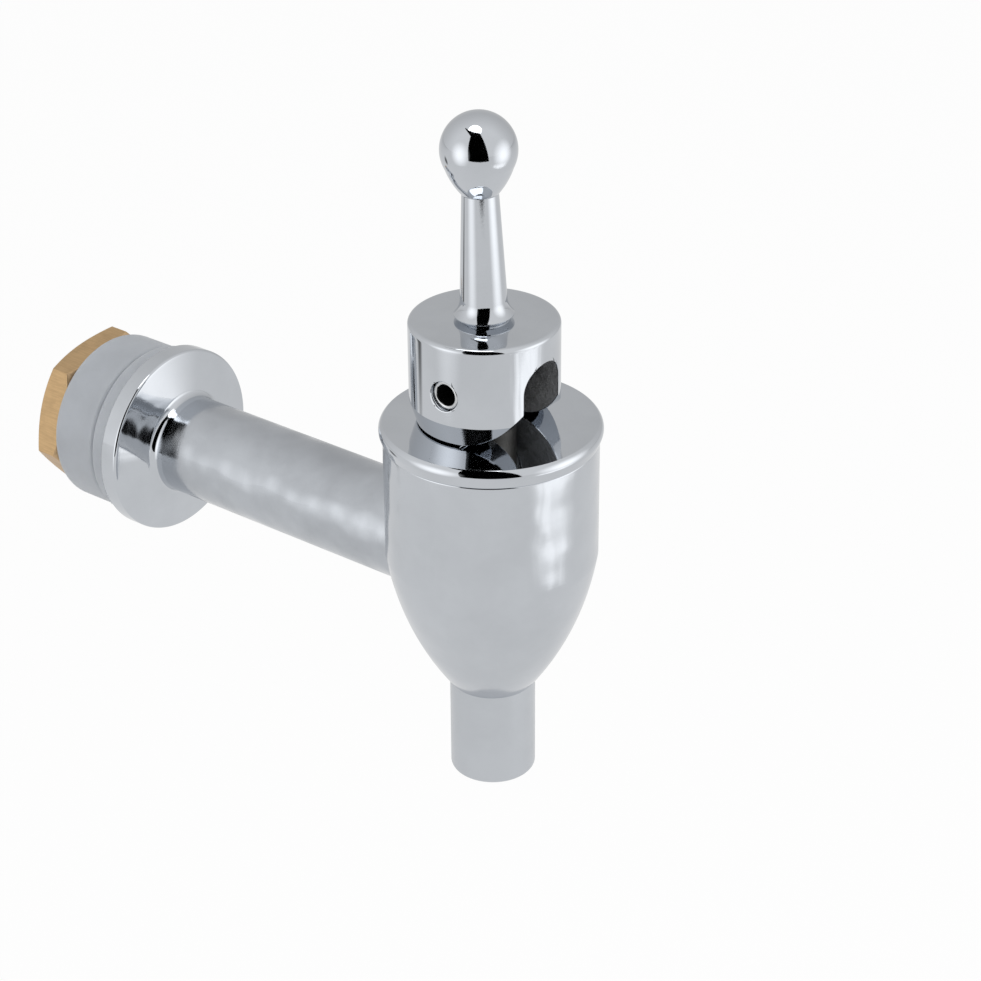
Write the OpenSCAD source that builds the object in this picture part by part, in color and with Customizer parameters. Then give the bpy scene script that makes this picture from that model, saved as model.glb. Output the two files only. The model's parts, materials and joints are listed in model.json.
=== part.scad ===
// Barrel tap with a cam lever, all sizes in millimetres.
// The origin is the centre of the flange's sealing face, with +Z up, the
// threaded tail along +Y and the spout side toward -Y.

/* [Body] */
// Diameter of the straight part of the body
body_d = 31.7; // [31.2:0.1:33]
// Height of the straight part of the body
straight_h = 18.8; // [17:0.1:22]
// Height of the curved lower part of the body
taper_h = 22.3; // [20.5:0.1:28]
// Radius of the curve of the lower part
taper_radius = 50; // [36:1:120]
// Diameter of the water chamber
chamber_d = 22; // [20.5:0.1:22.6]
// Diameter of the outlet bore below the seat
outlet_d = 9; // [7:0.1:9.4]
// Thickness of metal between the inlet bore and the chamber floor
floor_drop = 2.6; // [2.5:0.1:3.6]

/* [Spout] */
// Outside diameter of the spout tube
spout_d = 13; // [12.4:0.1:14]
// Bore of the spout tube
spout_bore = 10; // [8:0.1:10.4]
// Visible length of the spout tube
spout_len = 15.8; // [8:0.1:40]
// Length of the spout tube inside the body
spout_socket = 6; // [3:0.1:7]

/* [Arm] */
// Diameter of the horizontal arm
arm_d = 15.7; // [14.8:0.1:17]
// Bore of the arm and of the threaded tail
inlet_d = 9.2; // [6:0.1:9.6]
// Distance from the body axis to the sealing face of the flange
arm_reach = 67; // [50:0.5:120]
// Height of the bonnet's top face above the arm axis
arm_drop = 23.6; // [23:0.1:25]
// Diameter of the arm's end inside the body
arm_socket_d = 13.6; // [13:0.1:13.8]

/* [Flange and tail] */
// Diameter of the flange
flange_d = 30.2; // [26:0.1:40]
// Thickness of the flange at its rim
flange_rim = 3.2; // [2:0.1:6]
// Height of the shallow cone in front of the rim
flange_cone = 1.2; // [0.4:0.1:3]
// Radius of the fillet between the flange and the arm
flange_fillet = 1.2; // [0.5:0.1:2.5]
// Diameter of the threaded tail
tail_d = 16; // [15:0.5:17]
// Length of the threaded tail behind the sealing face
tail_len = 20.4; // [19.4:0.1:60]

/* [Washers and nut] */
// Diameter of the washer next to the flange
flange_washer_d = 28.4; // [22:0.1:36]
// Thickness of the washer next to the flange
flange_washer_t = 3.2; // [1:0.1:3.4]
// Diameter of the washer next to the nut
nut_washer_d = 27.5; // [22:0.1:36]
// Thickness of the washer next to the nut
nut_washer_t = 8.6; // [3:0.1:8.8]
// Width of the nut across its flats
nut_flats = 24; // [21:0.5:30]
// Thickness of the nut
nut_t = 5.2; // [3:0.1:5.5]
// Turn of the nut about the tail at rest
nut_turn = 10; // [0:1:59]

/* [Bonnet] */
// Diameter of the bonnet's rim at its widest
bonnet_d = 32.8; // [32:0.1:36]
// Height of the bonnet's rim
rim_h = 2.7; // [2.2:0.1:3.2]
// Radius of the edge between the rim and the top face
rim_round = 0.75; // [0.3:0.05:1]
// Diameter of the threaded skirt
skirt_d = 26; // [25:0.1:27]
// Length of the skirt below the rim
skirt_len = 8; // [6:0.1:8.4]
// Thickness of the bonnet above the spring
bonnet_plate = 4.2; // [3.4:0.1:5]
// Diameter of the boss that guides the stem
boss_d = 11; // [10:0.1:11.6]

/* [Valve] */
// Diameter of the stem
stem_d = 7.4; // [6.8:0.1:7.6]
// Wire thickness of the stem seals
stem_seal_wire = 1.2; // [0.8:0.05:1.3]
// Distance between the two stem seals
stem_seal_step = 3.4; // [2.4:0.1:3.8]
// Height of the seat above the chamber floor
seat_rise = 1.2; // [0.8:0.1:2]
// Diameter of the plug's cup
cup_d = 16; // [15.4:0.1:17]
// Diameter of the soft plug
plug_d = 13.8; // [12.6:0.1:14.2]
// Thickness of the soft plug
plug_t = 3.2; // [2.6:0.1:3.6]
// Diameter of the plug's screw
screw_d = 3; // [2.5:0.5:3.5]
// Mean diameter of the return spring
spring_d = 13.8; // [13:0.1:14.2]
// Wire diameter of the return spring
spring_wire = 1.2; // [0.8:0.05:1.3]
// Number of turns of the return spring
spring_turns = 8; // [5:0.5:9]

/* [Cam head] */
// Diameter of the head
head_d = 22; // [21.4:0.1:24]
// Height of the head
head_h = 15.7; // [15:0.1:20]
// Distance of the head's axis behind the pin
head_back = 1.1; // [0:0.1:1.6]
// Height of the pin above the bonnet's top face
pin_h = 8.1; // [7.8:0.1:8.8]
// Diameter of the pivot pin
pin_d = 4.4; // [3.6:0.1:4.6]
// Bore of the pivot pin
pin_bore = 3.1; // [1:0.1:3.2]
// Width of the slot for the stem
slot_w = 8; // [7.9:0.1:9]
// Lift of the pin for each radian that the lever is tilted
cam_rate = 1.5; // [0.8:0.05:2]
// Height of the bevel round the head's lower edge
head_bevel_h = 2.75; // [1:0.05:4]
// Width of the bevel round the head's lower edge
head_bevel_w = 1.3; // [0.5:0.05:1.6]

/* [Lever] */
// Diameter of the ball
ball_d = 11; // [8:0.1:16]
// Height of the ball's centre above the head
ball_h = 25.4; // [16:0.1:60]
// Diameter of the lever below the ball
neck_top_d = 5.3; // [4:0.1:6]
// Diameter of the lever above its flared foot
neck_low_d = 6.8; // [5.4:0.1:8]
// Diameter of the flared foot
foot_d = 8.7; // [8.2:0.1:12]
// Height of the flared foot
foot_h = 3.2; // [1.5:0.1:6]
// Backward lean of the lever
lever_lean = 1.7; // [0:0.1:6]
// Diameter of the stud under the lever
stud_d = 5; // [3:0.5:6]

/* [Clearances] */
// Radial clearance of the pieces that move in one another
run_gap = 0.05; // [0.03:0.01:0.1]
// Clearance of the pieces that are fixed in one another
fit_gap = 0.02; // [0.01:0.01:0.05]
// Gap between the cam and the bonnet's top face
rest_gap = 0.3; // [0.15:0.05:0.5]
// Gap between the plug and its seat, and between nut and washers
seat_gap = 0.1; // [0.05:0.05:0.2]

/* [Hidden] */
$fn = 96;

// Heights in the body's own frame, whose zero is the bonnet's top face.
z_seam = -rim_h;
z_taper = z_seam - straight_h;
z_neck = z_taper - taper_h;
z_skirt = z_seam - skirt_len;
z_floor = -arm_drop - inlet_d / 2 - floor_drop;
z_seat = z_floor + seat_rise;
seat_depth = 2;
relief = 1;

body_r = body_d / 2;
neck_r = spout_d / 2 + 0.1;
spigot_r = (spout_bore + spout_d) / 4 - 0.25;
spigot_bore_r = min(outlet_d / 2, spigot_r - 0.8);

// Centre of the arc that carries the body from its straight part to the neck.
taper_drop = body_r - neck_r;
taper_chord = sqrt(pow(taper_drop, 2) + pow(taper_h, 2));
taper_sag = sqrt(pow(taper_radius, 2) - pow(taper_chord / 2, 2));
taper_cx = (body_r + neck_r) / 2 - taper_sag * taper_h / taper_chord;
taper_cz = z_taper - taper_h / 2 + taper_sag * taper_drop / taper_chord;

// Seal of the bonnet, in a step at the mouth of the body.
bonnet_seal_t = 1.2;
bonnet_seal_w = min(1.3, (body_r - skirt_d / 2) * 0.6);

// Seal of the arm, in a groove of its socket end.
arm_wire = 1.2;
arm_end = chamber_d / 2 - 0.4;
arm_side = sqrt(pow(body_r, 2) - pow(arm_socket_d / 2, 2));
arm_seal_y = (chamber_d / 2 + arm_side) / 2;
arm_seal_r = arm_socket_d / 2 + fit_gap - arm_wire / 2;
arm_spigot_d = (tail_d + inlet_d) / 2 - 0.6;
arm_spigot_len = 5;
hub_len = 0.8;
flange_front = flange_rim + flange_cone + flange_fillet + hub_len;

// Plug at rest, just clear of its seat.
z_plug = z_seat + seat_gap;
z_cup_floor = z_plug + plug_t;
cup_floor_t = 1.5;
cup_lip = 0.8;
z_cup_top = z_cup_floor + cup_floor_t;
plug_stud_d = screw_d * 1.75;
screw_head_d = screw_d * 1.9;
screw_head_t = screw_d * 0.53;
screw_slot = screw_d * 0.23;
screw_len = plug_t + cup_floor_t + screw_d * 1.1;

// Seals of the stem.
seal_ring_r = stem_d / 2 + run_gap - 0.01 - stem_seal_wire / 2;
seal_groove_r = seal_ring_r - stem_seal_wire / 2 - fit_gap;
z_seal_upper = (z_skirt + stem_seal_step) / 2 + 0.6;
z_seal_lower = z_seal_upper - stem_seal_step;

// Cam, seen along the pin, with the pin at the origin.
cam_reach = pin_h - rest_gap;
cam_end = 84;
cam_steps = 42;
function cam_support(a) = cam_reach + cam_rate * a * PI / 180;
function cam_forward(a) = cam_support(a) * sin(a) + cam_rate * cos(a);
function cam_below(a) = cam_support(a) * cos(a) - cam_rate * sin(a);
head_top = rest_gap + head_h;
pin_half = sqrt(pow(head_d / 2, 2) - pow(head_back + pin_d / 2, 2)) - 0.1;

// Foot of the lever, a hollow curve from the foot up to the neck.
foot_step = 0.4;
foot_rise = foot_h - foot_step;
foot_out = (foot_d - neck_low_d) / 2;
foot_curve = (pow(foot_rise, 2) + pow(foot_out, 2)) / (2 * foot_out);
stud_len = min(3.2, head_top - pin_h - slot_w / 2 - 0.5);
neck_top_h = ball_h - sqrt(pow(ball_d / 2, 2) - pow(neck_top_d / 2, 2));

z_nut_washer = flange_washer_t + seat_gap;
z_nut = z_nut_washer + nut_washer_t + seat_gap;

// Puts a piece drawn on the body's axis into the shared frame.
module at_body() {
  translate([0, -arm_reach, arm_drop]) children();
}

// Puts a piece drawn along +Z onto the axis of the tail.
module at_tail() {
  rotate([-90, 0, 0]) children();
}

// Plain ring with a rectangular section.
module ring(outer, inner, height) {
  difference() {
    cylinder(r = outer, h = height);
    translate([0, 0, -1]) cylinder(r = inner, h = height + 2);
  }
}

// Round seal ring lying flat with its centre at the origin.
module seal_ring(mean_r, wire) {
  rotate_extrude() translate([mean_r, 0]) circle(d = wire);
}

// Straight upper part of the body as one solid.
module body_straight() {
  rotate_extrude() polygon([[0, z_taper], [body_r, z_taper], [body_r, z_seam - 0.3],
                            [body_r - 0.3, z_seam], [0, z_seam]]);
}

// Curved lower part of the body as one solid.
module body_taper() {
  rotate_extrude() intersection() {
    translate([0, z_neck]) square([body_r, taper_h]);
    translate([taper_cx, taper_cz]) circle(r = taper_radius);
  }
}

// Body with its chamber, seat pocket, outlet and sockets.
module body_shell() {
  color("silver") at_body() difference() {
    union() {
      body_straight();
      body_taper();
    }
    translate([0, 0, z_floor]) cylinder(d = chamber_d, h = -z_floor);
    translate([0, 0, z_skirt - relief]) cylinder(r = skirt_d / 2 + fit_gap, h = -z_skirt + relief);
    translate([0, 0, z_seam - bonnet_seal_t])
      cylinder(r = skirt_d / 2 + bonnet_seal_w, h = bonnet_seal_t + 1);
    translate([0, 0, z_floor - seat_depth]) cylinder(r = seat_outer() + fit_gap, h = seat_depth + 1);
    translate([0, 0, z_neck - 1]) cylinder(d = outlet_d, h = z_floor - z_neck + 2);
    translate([0, 0, z_neck - 1]) cylinder(r = spigot_r + fit_gap, h = spout_socket + 1.2);
    translate([0, 0, -arm_drop]) at_tail() cylinder(r = arm_socket_d / 2 + fit_gap, h = body_d);
  }
}
function seat_outer() = outlet_d / 2 + 1.9;

// Spout tube with a reduced end inside the body.
module spout_tube() {
  color("silver") at_body() rotate_extrude() difference() {
    union() {
      translate([0, z_neck - spout_len + 0.7]) square([spout_d / 2, spout_len - 0.7]);
      translate([0, z_neck - spout_len]) square([spout_d / 2 - 0.7, spout_len]);
      translate([spout_d / 2 - 0.7, z_neck - spout_len + 0.7]) circle(r = 0.7);
      translate([0, z_neck - 0.5]) square([spigot_r, spout_socket + 0.5]);
    }
    translate([-1, z_neck - spout_len - 1]) square([1 + spout_bore / 2, spout_len - 0.5]);
    translate([-1, z_neck - 2]) square([1 + spigot_bore_r, spout_socket + 4]);
  }
}

// Arm from the body to the flange, shaped to the body at its front end.
module arm_tube() {
  color("silver") at_body() translate([0, 0, -arm_drop]) difference() {
    union() {
      difference() {
        translate([0, chamber_d / 3, 0]) at_tail()
          cylinder(d = arm_d, h = arm_reach - flange_front - chamber_d / 3);
        translate([0, 0, arm_drop]) body_straight();
        translate([0, 0, arm_drop]) body_taper();
      }
      translate([0, arm_end, 0]) at_tail() cylinder(d = arm_socket_d, h = body_r - arm_end + 2);
      translate([0, arm_reach - flange_front - 1, 0]) at_tail()
        cylinder(d = arm_spigot_d, h = arm_spigot_len + 1);
    }
    at_tail() cylinder(d = inlet_d, h = arm_reach);
    translate([0, arm_seal_y - arm_wire * 0.6, 0]) at_tail()
      ring(arm_socket_d / 2 + fit_gap, arm_seal_r - arm_wire / 2 - 0.02, arm_wire * 1.2);
  }
}

// Seal ring between the arm and the body.
module arm_seal() {
  color("dimgray") at_body() translate([0, arm_seal_y, -arm_drop]) at_tail()
    seal_ring(arm_seal_r, arm_wire);
}

// Flange with its short hub and the tail for the thread.
module flange_tail() {
  color("silver") at_tail() difference() {
    rotate_extrude() difference() {
      polygon([[0, -flange_front], [arm_d / 2, -flange_front],
               [arm_d / 2, -flange_rim - flange_cone - flange_fillet],
               [arm_d / 2 + flange_fillet, -flange_rim - flange_cone - flange_fillet],
               [arm_d / 2 + flange_fillet, -flange_rim - flange_cone],
               [flange_d / 2 - 0.35, -flange_rim], [flange_d / 2, -flange_rim + 0.35],
               [flange_d / 2, -0.3], [flange_d / 2 - 0.3, 0], [tail_d / 2, 0],
               [tail_d / 2, tail_len - 0.8], [tail_d / 2 - 0.8, tail_len], [0, tail_len]]);
      translate([arm_d / 2 + flange_fillet, -flange_rim - flange_cone - flange_fillet])
        circle(r = flange_fillet);
    }
    translate([0, 0, -flange_front - 1]) cylinder(d = inlet_d, h = flange_front + tail_len + 2);
    translate([0, 0, -flange_front - 1])
      cylinder(r = arm_spigot_d / 2 + fit_gap, h = arm_spigot_len + 1 + fit_gap);
    translate([0, 0, tail_len - 0.6]) cylinder(d1 = inlet_d, d2 = inlet_d + 1.4, h = 0.7);
  }
}

// Soft washer with lightly broken edges.
module soft_washer(outer_d, height) {
  rotate_extrude() polygon([[tail_d / 2 + 0.2, 0], [outer_d / 2 - 0.4, 0], [outer_d / 2, 0.4],
                            [outer_d / 2, height - 0.4], [outer_d / 2 - 0.4, height],
                            [tail_d / 2 + 0.2, height]]);
}

// Washer that seals against the flange.
module flange_washer() {
  color("lightgray") at_tail() soft_washer(flange_washer_d, flange_washer_t);
}

// Washer under the nut.
module nut_washer() {
  color("gainsboro") at_tail() translate([0, 0, z_nut_washer])
    soft_washer(nut_washer_d, nut_washer_t);
}

// Hexagon nut, chamfered on both faces and in its bore.
module hex_nut() {
  corner_r = nut_flats / sqrt(3) + 0.3;
  flat_r = nut_flats / 2;
  inner_chamfer = (corner_r - flat_r - 0.6) * tan(30);
  outer_chamfer = (corner_r - flat_r + 0.35) * tan(30);
  color("darkgoldenrod") at_tail() translate([0, 0, z_nut]) difference() {
    intersection() {
      rotate([0, 0, -nut_turn]) cylinder(r = nut_flats / sqrt(3), h = nut_t, $fn = 6);
      rotate_extrude() polygon([[0, 0], [flat_r + 0.6, 0], [corner_r, inner_chamfer],
                                [corner_r, nut_t - outer_chamfer], [flat_r - 0.35, nut_t],
                                [0, nut_t]]);
    }
    translate([0, 0, -1]) cylinder(r = tail_d / 2 + run_gap, h = nut_t + 2);
    translate([0, 0, nut_t - 0.6]) cylinder(d1 = tail_d + 2 * run_gap, d2 = tail_d + 1.6, h = 0.7);
    translate([0, 0, -0.1]) cylinder(d1 = tail_d + 1.6, d2 = tail_d + 2 * run_gap, h = 0.7);
  }
}

// Seat ring with a narrow raised land.
module valve_seat() {
  land = outlet_d / 2 + 0.7;
  color("gold") at_body() rotate_extrude()
    polygon([[outlet_d / 2, z_floor - seat_depth], [seat_outer(), z_floor - seat_depth],
             [seat_outer(), z_floor], [land + 0.4, z_seat - 0.3], [land + 0.2, z_seat],
             [land - 0.3, z_seat], [outlet_d / 2, z_seat - 0.4]]);
}

// Bonnet with its rim, threaded skirt, spring pocket and guide for the stem.
module bonnet() {
  rim_r = bonnet_d / 2;
  color("silver") at_body() difference() {
    union() {
      rotate_extrude() {
        polygon([[0, 0], [rim_r - rim_round, 0], [rim_r, -rim_round],
                 [body_r + 0.15, z_seam], [0, z_seam]]);
        translate([rim_r - rim_round, -rim_round]) circle(r = rim_round);
      }
      translate([0, 0, z_skirt]) cylinder(d = skirt_d, h = skirt_len + 0.5);
    }
    translate([0, 0, z_skirt - 1]) ring(skirt_d / 2 - 2.4, boss_d / 2, -z_skirt - bonnet_plate + 1);
    translate([0, 0, z_skirt - 1]) cylinder(r = stem_d / 2 + run_gap, h = -z_skirt + 2);
  }
}

// Flat seal between the bonnet and the body.
module bonnet_seal() {
  color("dimgray") at_body() translate([0, 0, z_seam - bonnet_seal_t])
    ring(skirt_d / 2 + bonnet_seal_w, skirt_d / 2 + fit_gap, bonnet_seal_t);
}

// Stem with its eye for the pin, two seal grooves and the stud for the plug.
module valve_stem() {
  color("goldenrod") at_body() difference() {
    union() {
      translate([0, 0, pin_h]) sphere(d = stem_d);
      translate([0, 0, z_cup_top]) cylinder(d = stem_d, h = pin_h - z_cup_top);
      translate([0, 0, z_cup_floor - 1]) cylinder(d = plug_stud_d, h = cup_floor_t + 1.5);
    }
    translate([0, 0, pin_h]) rotate([0, 90, 0])
      cylinder(r = pin_d / 2 + run_gap, h = stem_d + 2, center = true);
    for (z = [z_seal_upper, z_seal_lower])
      translate([0, 0, z - stem_seal_wire * 0.6])
        ring(stem_d, seal_groove_r, stem_seal_wire * 1.2);
    translate([0, 0, z_plug - 1]) cylinder(r = screw_d / 2 + fit_gap, h = screw_len + 1.3);
  }
}

// Upper seal of the stem.
module stem_seal_upper() {
  color("dimgray") at_body() translate([0, 0, z_seal_upper]) seal_ring(seal_ring_r, stem_seal_wire);
}

// Lower seal of the stem.
module stem_seal_lower() {
  color("dimgray") at_body() translate([0, 0, z_seal_lower]) seal_ring(seal_ring_r, stem_seal_wire);
}

// Return spring between the bonnet and the plug's cup.
spring_low = z_cup_top + spring_wire / 2;
spring_high = -bonnet_plate - spring_wire / 2;
spring_sides = 10;
spring_parts = 26;
spring_count = floor(spring_turns * spring_parts);
spring_dead = spring_wire * 1.04;
function spring_rise(t) =
  t < 1 ? spring_dead * t :
  t > spring_turns - 1 ? spring_high - spring_low - spring_dead * (spring_turns - t) :
  spring_dead + (spring_high - spring_low - 2 * spring_dead) * (t - 1) / (spring_turns - 2);
function spring_point(i, j) =
  let (a = 360 * i / spring_parts, b = 360 * j / spring_sides,
       r = spring_d / 2 + spring_wire / 2 * cos(b))
  [r * cos(a), r * sin(a), spring_low + spring_rise(i / spring_parts) + spring_wire / 2 * sin(b)];
module return_spring() {
  n = spring_sides;
  color("lightsteelblue") at_body() polyhedron(
    points = [for (i = [0:spring_count]) for (j = [0:n - 1]) spring_point(i, j)],
    faces = concat(
      [[for (j = [0:n - 1]) j]],
      [for (i = [0:spring_count - 1]) for (j = [0:n - 1])
        [i * n + j, (i + 1) * n + j, (i + 1) * n + (j + 1) % n]],
      [for (i = [0:spring_count - 1]) for (j = [0:n - 1])
        [i * n + j, (i + 1) * n + (j + 1) % n, i * n + (j + 1) % n]],
      [[for (j = [n - 1:-1:0]) spring_count * n + j]]));
}

// Cup that carries the soft plug.
module plug_cup() {
  color("goldenrod") at_body() difference() {
    translate([0, 0, z_plug + cup_lip]) cylinder(d = cup_d, h = z_cup_top - z_plug - cup_lip);
    translate([0, 0, z_plug - 1]) cylinder(r = plug_d / 2 + fit_gap, h = plug_t + 1);
    translate([0, 0, z_plug]) cylinder(r = plug_stud_d / 2 + fit_gap, h = plug_t + cup_floor_t + 1);
  }
}

// Soft plug that closes the seat.
module plug_seal() {
  color("whitesmoke") at_body() difference() {
    translate([0, 0, z_plug]) cylinder(d = plug_d, h = plug_t);
    translate([0, 0, z_cup_floor - 1 - fit_gap])
      cylinder(r = plug_stud_d / 2 + fit_gap, h = 2);
    translate([0, 0, z_plug - 1]) cylinder(r = screw_d / 2 + fit_gap, h = plug_t + 2);
  }
}

// Screw that holds the plug in its cup.
module plug_screw() {
  color("lightgray") at_body() difference() {
    union() {
      translate([0, 0, z_plug - screw_head_t]) cylinder(d = screw_head_d, h = screw_head_t);
      translate([0, 0, z_plug - 0.5]) cylinder(d = screw_d, h = screw_len + 0.5);
    }
    translate([-screw_head_d, -screw_slot / 2, z_plug - screw_head_t - 1])
      cube([2 * screw_head_d, screw_slot, 1 + screw_slot]);
  }
}

// Side view of everything in front of and below the cam's nose.
module cam_cut() {
  polygon(concat(
    [for (i = [0:cam_steps])
      [cam_forward(i * cam_end / cam_steps), -cam_below(i * cam_end / cam_steps)]],
    [[head_d, -cam_below(cam_end)], [head_d, -cam_reach - 5], [cam_rate, -cam_reach - 5]]));
}

// Head whose nose rolls on the bonnet and lifts the pin.
module cam_head() {
  r = head_d / 2;
  color("silver") at_body() difference() {
    translate([0, head_back, rest_gap]) rotate_extrude()
      polygon([[0, 0], [r - head_bevel_w, 0], [r, head_bevel_h],
               [r, head_h - 0.3], [r - 0.3, head_h], [0, head_h]]);
    translate([r + 1, 0, pin_h]) rotate([90, 0, -90]) linear_extrude(height = head_d + 2) cam_cut();
    translate([0, slot_w / 2, pin_h]) rotate([90, 0, 0]) cylinder(d = slot_w, h = head_d);
    translate([-slot_w / 2, slot_w / 2 - head_d, -1]) cube([slot_w, head_d, pin_h + 1]);
    translate([0, 0, pin_h]) rotate([0, 90, 0])
      cylinder(r = pin_d / 2 + run_gap, h = head_d + 2, center = true);
    translate([0, head_back, head_top - stud_len - 0.3])
      cylinder(r = stud_d / 2 + fit_gap, h = stud_len + 1);
  }
}

// Hollow pivot pin with countersunk ends.
module pivot_pin() {
  color("lightgray") at_body() translate([0, 0, pin_h]) rotate([0, 90, 0]) difference() {
    cylinder(d = pin_d, h = 2 * pin_half, center = true);
    cylinder(d = pin_bore, h = 2 * pin_half + 2, center = true);
    for (side = [0, 1]) mirror([0, 0, side])
      translate([0, 0, pin_half - 0.5])
        cylinder(d1 = pin_bore, d2 = pin_bore + 1.05, h = 0.525);
  }
}

// Lever with its ball, flared foot and stud.
module lever_handle() {
  color("silver") at_body() translate([0, head_back, head_top]) {
    difference() {
      rotate([-lever_lean, 0, 0]) {
        rotate_extrude() difference() {
          polygon([[0, -1.5], [foot_d / 2, -1.5], [foot_d / 2, foot_step], [foot_d / 2, foot_h],
                   [neck_low_d / 2, foot_h], [neck_top_d / 2, neck_top_h], [0, neck_top_h]]);
          translate([neck_low_d / 2 + foot_curve, foot_h]) circle(r = foot_curve);
        }
        translate([0, 0, ball_h]) sphere(d = ball_d);
      }
      translate([-foot_d, -foot_d, -3]) cube([2 * foot_d, 2 * foot_d, 3]);
    }
    translate([0, 0, -stud_len]) cylinder(d = stud_d, h = stud_len + 1);
  }
}

body_shell();
spout_tube();
arm_tube();
arm_seal();
flange_tail();
flange_washer();
valve_seat();
bonnet();
bonnet_seal();
valve_stem();
stem_seal_upper();
stem_seal_lower();
return_spring();
plug_cup();
plug_seal();
plug_screw();
cam_head();
pivot_pin();
lever_handle();
nut_washer();
hex_nut();
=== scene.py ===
"""Barrel tap with a cam lever: the finished look of every piece, the studio and the camera.

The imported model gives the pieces, their places and the bodies that they move with. The
classes hold sizes in millimetres, and the scene is in metres, with the origin at the centre
of the flange's sealing face, +Z up and +Y along the threaded tail.
"""

import json
import logging
import math
from collections.abc import Callable, Iterator
from contextlib import contextmanager
from dataclasses import dataclass
from enum import Enum

import bpy
from mathutils import Matrix, Vector

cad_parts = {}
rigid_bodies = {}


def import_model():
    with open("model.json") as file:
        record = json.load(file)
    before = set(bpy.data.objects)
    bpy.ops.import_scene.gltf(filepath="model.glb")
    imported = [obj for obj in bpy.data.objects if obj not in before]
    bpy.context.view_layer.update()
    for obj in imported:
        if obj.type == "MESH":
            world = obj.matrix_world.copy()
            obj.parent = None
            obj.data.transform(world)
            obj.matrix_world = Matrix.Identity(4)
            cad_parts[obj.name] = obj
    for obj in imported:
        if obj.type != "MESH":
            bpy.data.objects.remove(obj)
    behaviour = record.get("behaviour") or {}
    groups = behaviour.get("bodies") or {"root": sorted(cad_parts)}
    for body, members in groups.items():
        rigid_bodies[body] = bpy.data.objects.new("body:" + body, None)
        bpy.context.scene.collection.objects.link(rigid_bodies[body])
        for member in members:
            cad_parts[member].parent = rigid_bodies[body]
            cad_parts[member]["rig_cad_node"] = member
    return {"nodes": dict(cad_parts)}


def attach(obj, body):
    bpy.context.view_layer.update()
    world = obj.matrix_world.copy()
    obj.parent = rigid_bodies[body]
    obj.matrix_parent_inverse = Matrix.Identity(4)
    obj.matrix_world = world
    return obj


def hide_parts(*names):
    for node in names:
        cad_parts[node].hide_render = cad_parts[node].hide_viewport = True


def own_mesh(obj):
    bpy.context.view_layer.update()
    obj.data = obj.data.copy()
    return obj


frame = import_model()

LOG = logging.getLogger("barrel_tap")
MM = 0.001
# Facets round a turned piece
SIDES = 192
# Distance in metres within which points are merged
MERGE = 1e-6
# Least part of a face's normal that counts as turned towards an axis
FACING = 1e-9
NOWHERE = Vector((0.0, 0.0, 0.0))
WHITE = (1.0, 1.0, 1.0, 1.0)

Outline = list[tuple[float, float]]
Triple = tuple[float, float, float]
Piece = bpy.types.Object
Material = bpy.types.Material
Socket = bpy.types.NodeSocket
Test = Callable[[Vector, Vector], bool]


class Body(Enum):
    """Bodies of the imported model."""

    TAP = "tap_body"
    STEM = "stem"
    LEVER = "lever"
    CLAMP = "clamp"
    NUT = "nut"


class Slot(Enum):
    """Material slots of the record."""

    CHROME = "chrome"
    BRASS = "brass"
    SILICONE = "silicone"
    STEEL = "steel"
    SPRING = "spring_steel"


class Lie(Enum):
    """Axis that a turned piece lies on, with the turn that brings +Z onto it."""

    BARREL = (0.0, 0.0, 0.0)
    TAIL = (-math.pi / 2, 0.0, 0.0)
    PIN = (0.0, math.pi / 2, 0.0)


@dataclass(frozen=True)
class Layout:
    """Main heights and distances that the sub-assemblies share, in millimetres.

    Heights of the barrel are measured from the bonnet's top face, downward negative.
    """

    arm_reach: float = 67.0
    arm_drop: float = 23.6
    seam: float = -2.7
    taper_top: float = -21.5
    neck: float = -43.8
    pin_height: float = 8.1
    head_low: float = 0.3
    head_top: float = 16.0
    head_back: float = 1.1
    seam_gap: float = 0.02

    def barrel(self, height: float = 0.0) -> Vector:
        """Point on the barrel's axis at a height above the bonnet, in metres."""
        return Vector((0.0, -self.arm_reach, self.arm_drop + height)) * MM

    def head(self, height: float) -> Vector:
        """Point on the head's axis at a height above the bonnet, in metres."""
        return self.barrel(height) + Vector((0.0, self.head_back, 0.0)) * MM

    def tail(self, reach: float = 0.0) -> Vector:
        """Point on the tail's axis at a distance behind the sealing face, in metres."""
        return Vector((0.0, reach, 0.0)) * MM


LAYOUT = Layout()


def arc(centre: tuple[float, float], radius: float, start: float, end: float, steps: int = 8) -> Outline:
    """Points of an arc in the plane of radius and height, in millimetres.

    Args:
        centre: Centre of the arc as radius and height.
        radius: Radius of the arc.
        start: First angle in degrees, 0 outward and 90 upward.
        end: Last angle in degrees.
        steps: Number of straight steps.

    Returns:
        The points of the arc, both ends included.
    """
    angles = [math.radians(start + (end - start) * step / steps) for step in range(steps + 1)]
    return [(centre[0] + radius * math.cos(angle), centre[1] + radius * math.sin(angle)) for angle in angles]


def facing_in(lie: Lie, reach: float) -> Test:
    """Make a test that finds the faces of a bore or a chamber, which are painted near-black as shade.

    Args:
        lie: Axis of the bore, the barrel's or the tail's.
        reach: Distance from the axis in millimetres that the faces lie within.

    Returns:
        The test on a face's centre and normal.
    """
    axis = LAYOUT.barrel() if lie is Lie.BARREL else LAYOUT.tail()
    second = 1 if lie is Lie.BARREL else 2

    def test(centre: Vector, normal: Vector) -> bool:
        """Whether a face is near the axis and looks at it."""
        radial = Vector((centre.x - axis.x, centre[second] - axis[second]))
        return radial.dot(Vector((normal.x, normal[second]))) < -FACING and radial.length < reach * MM

    return test


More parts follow.
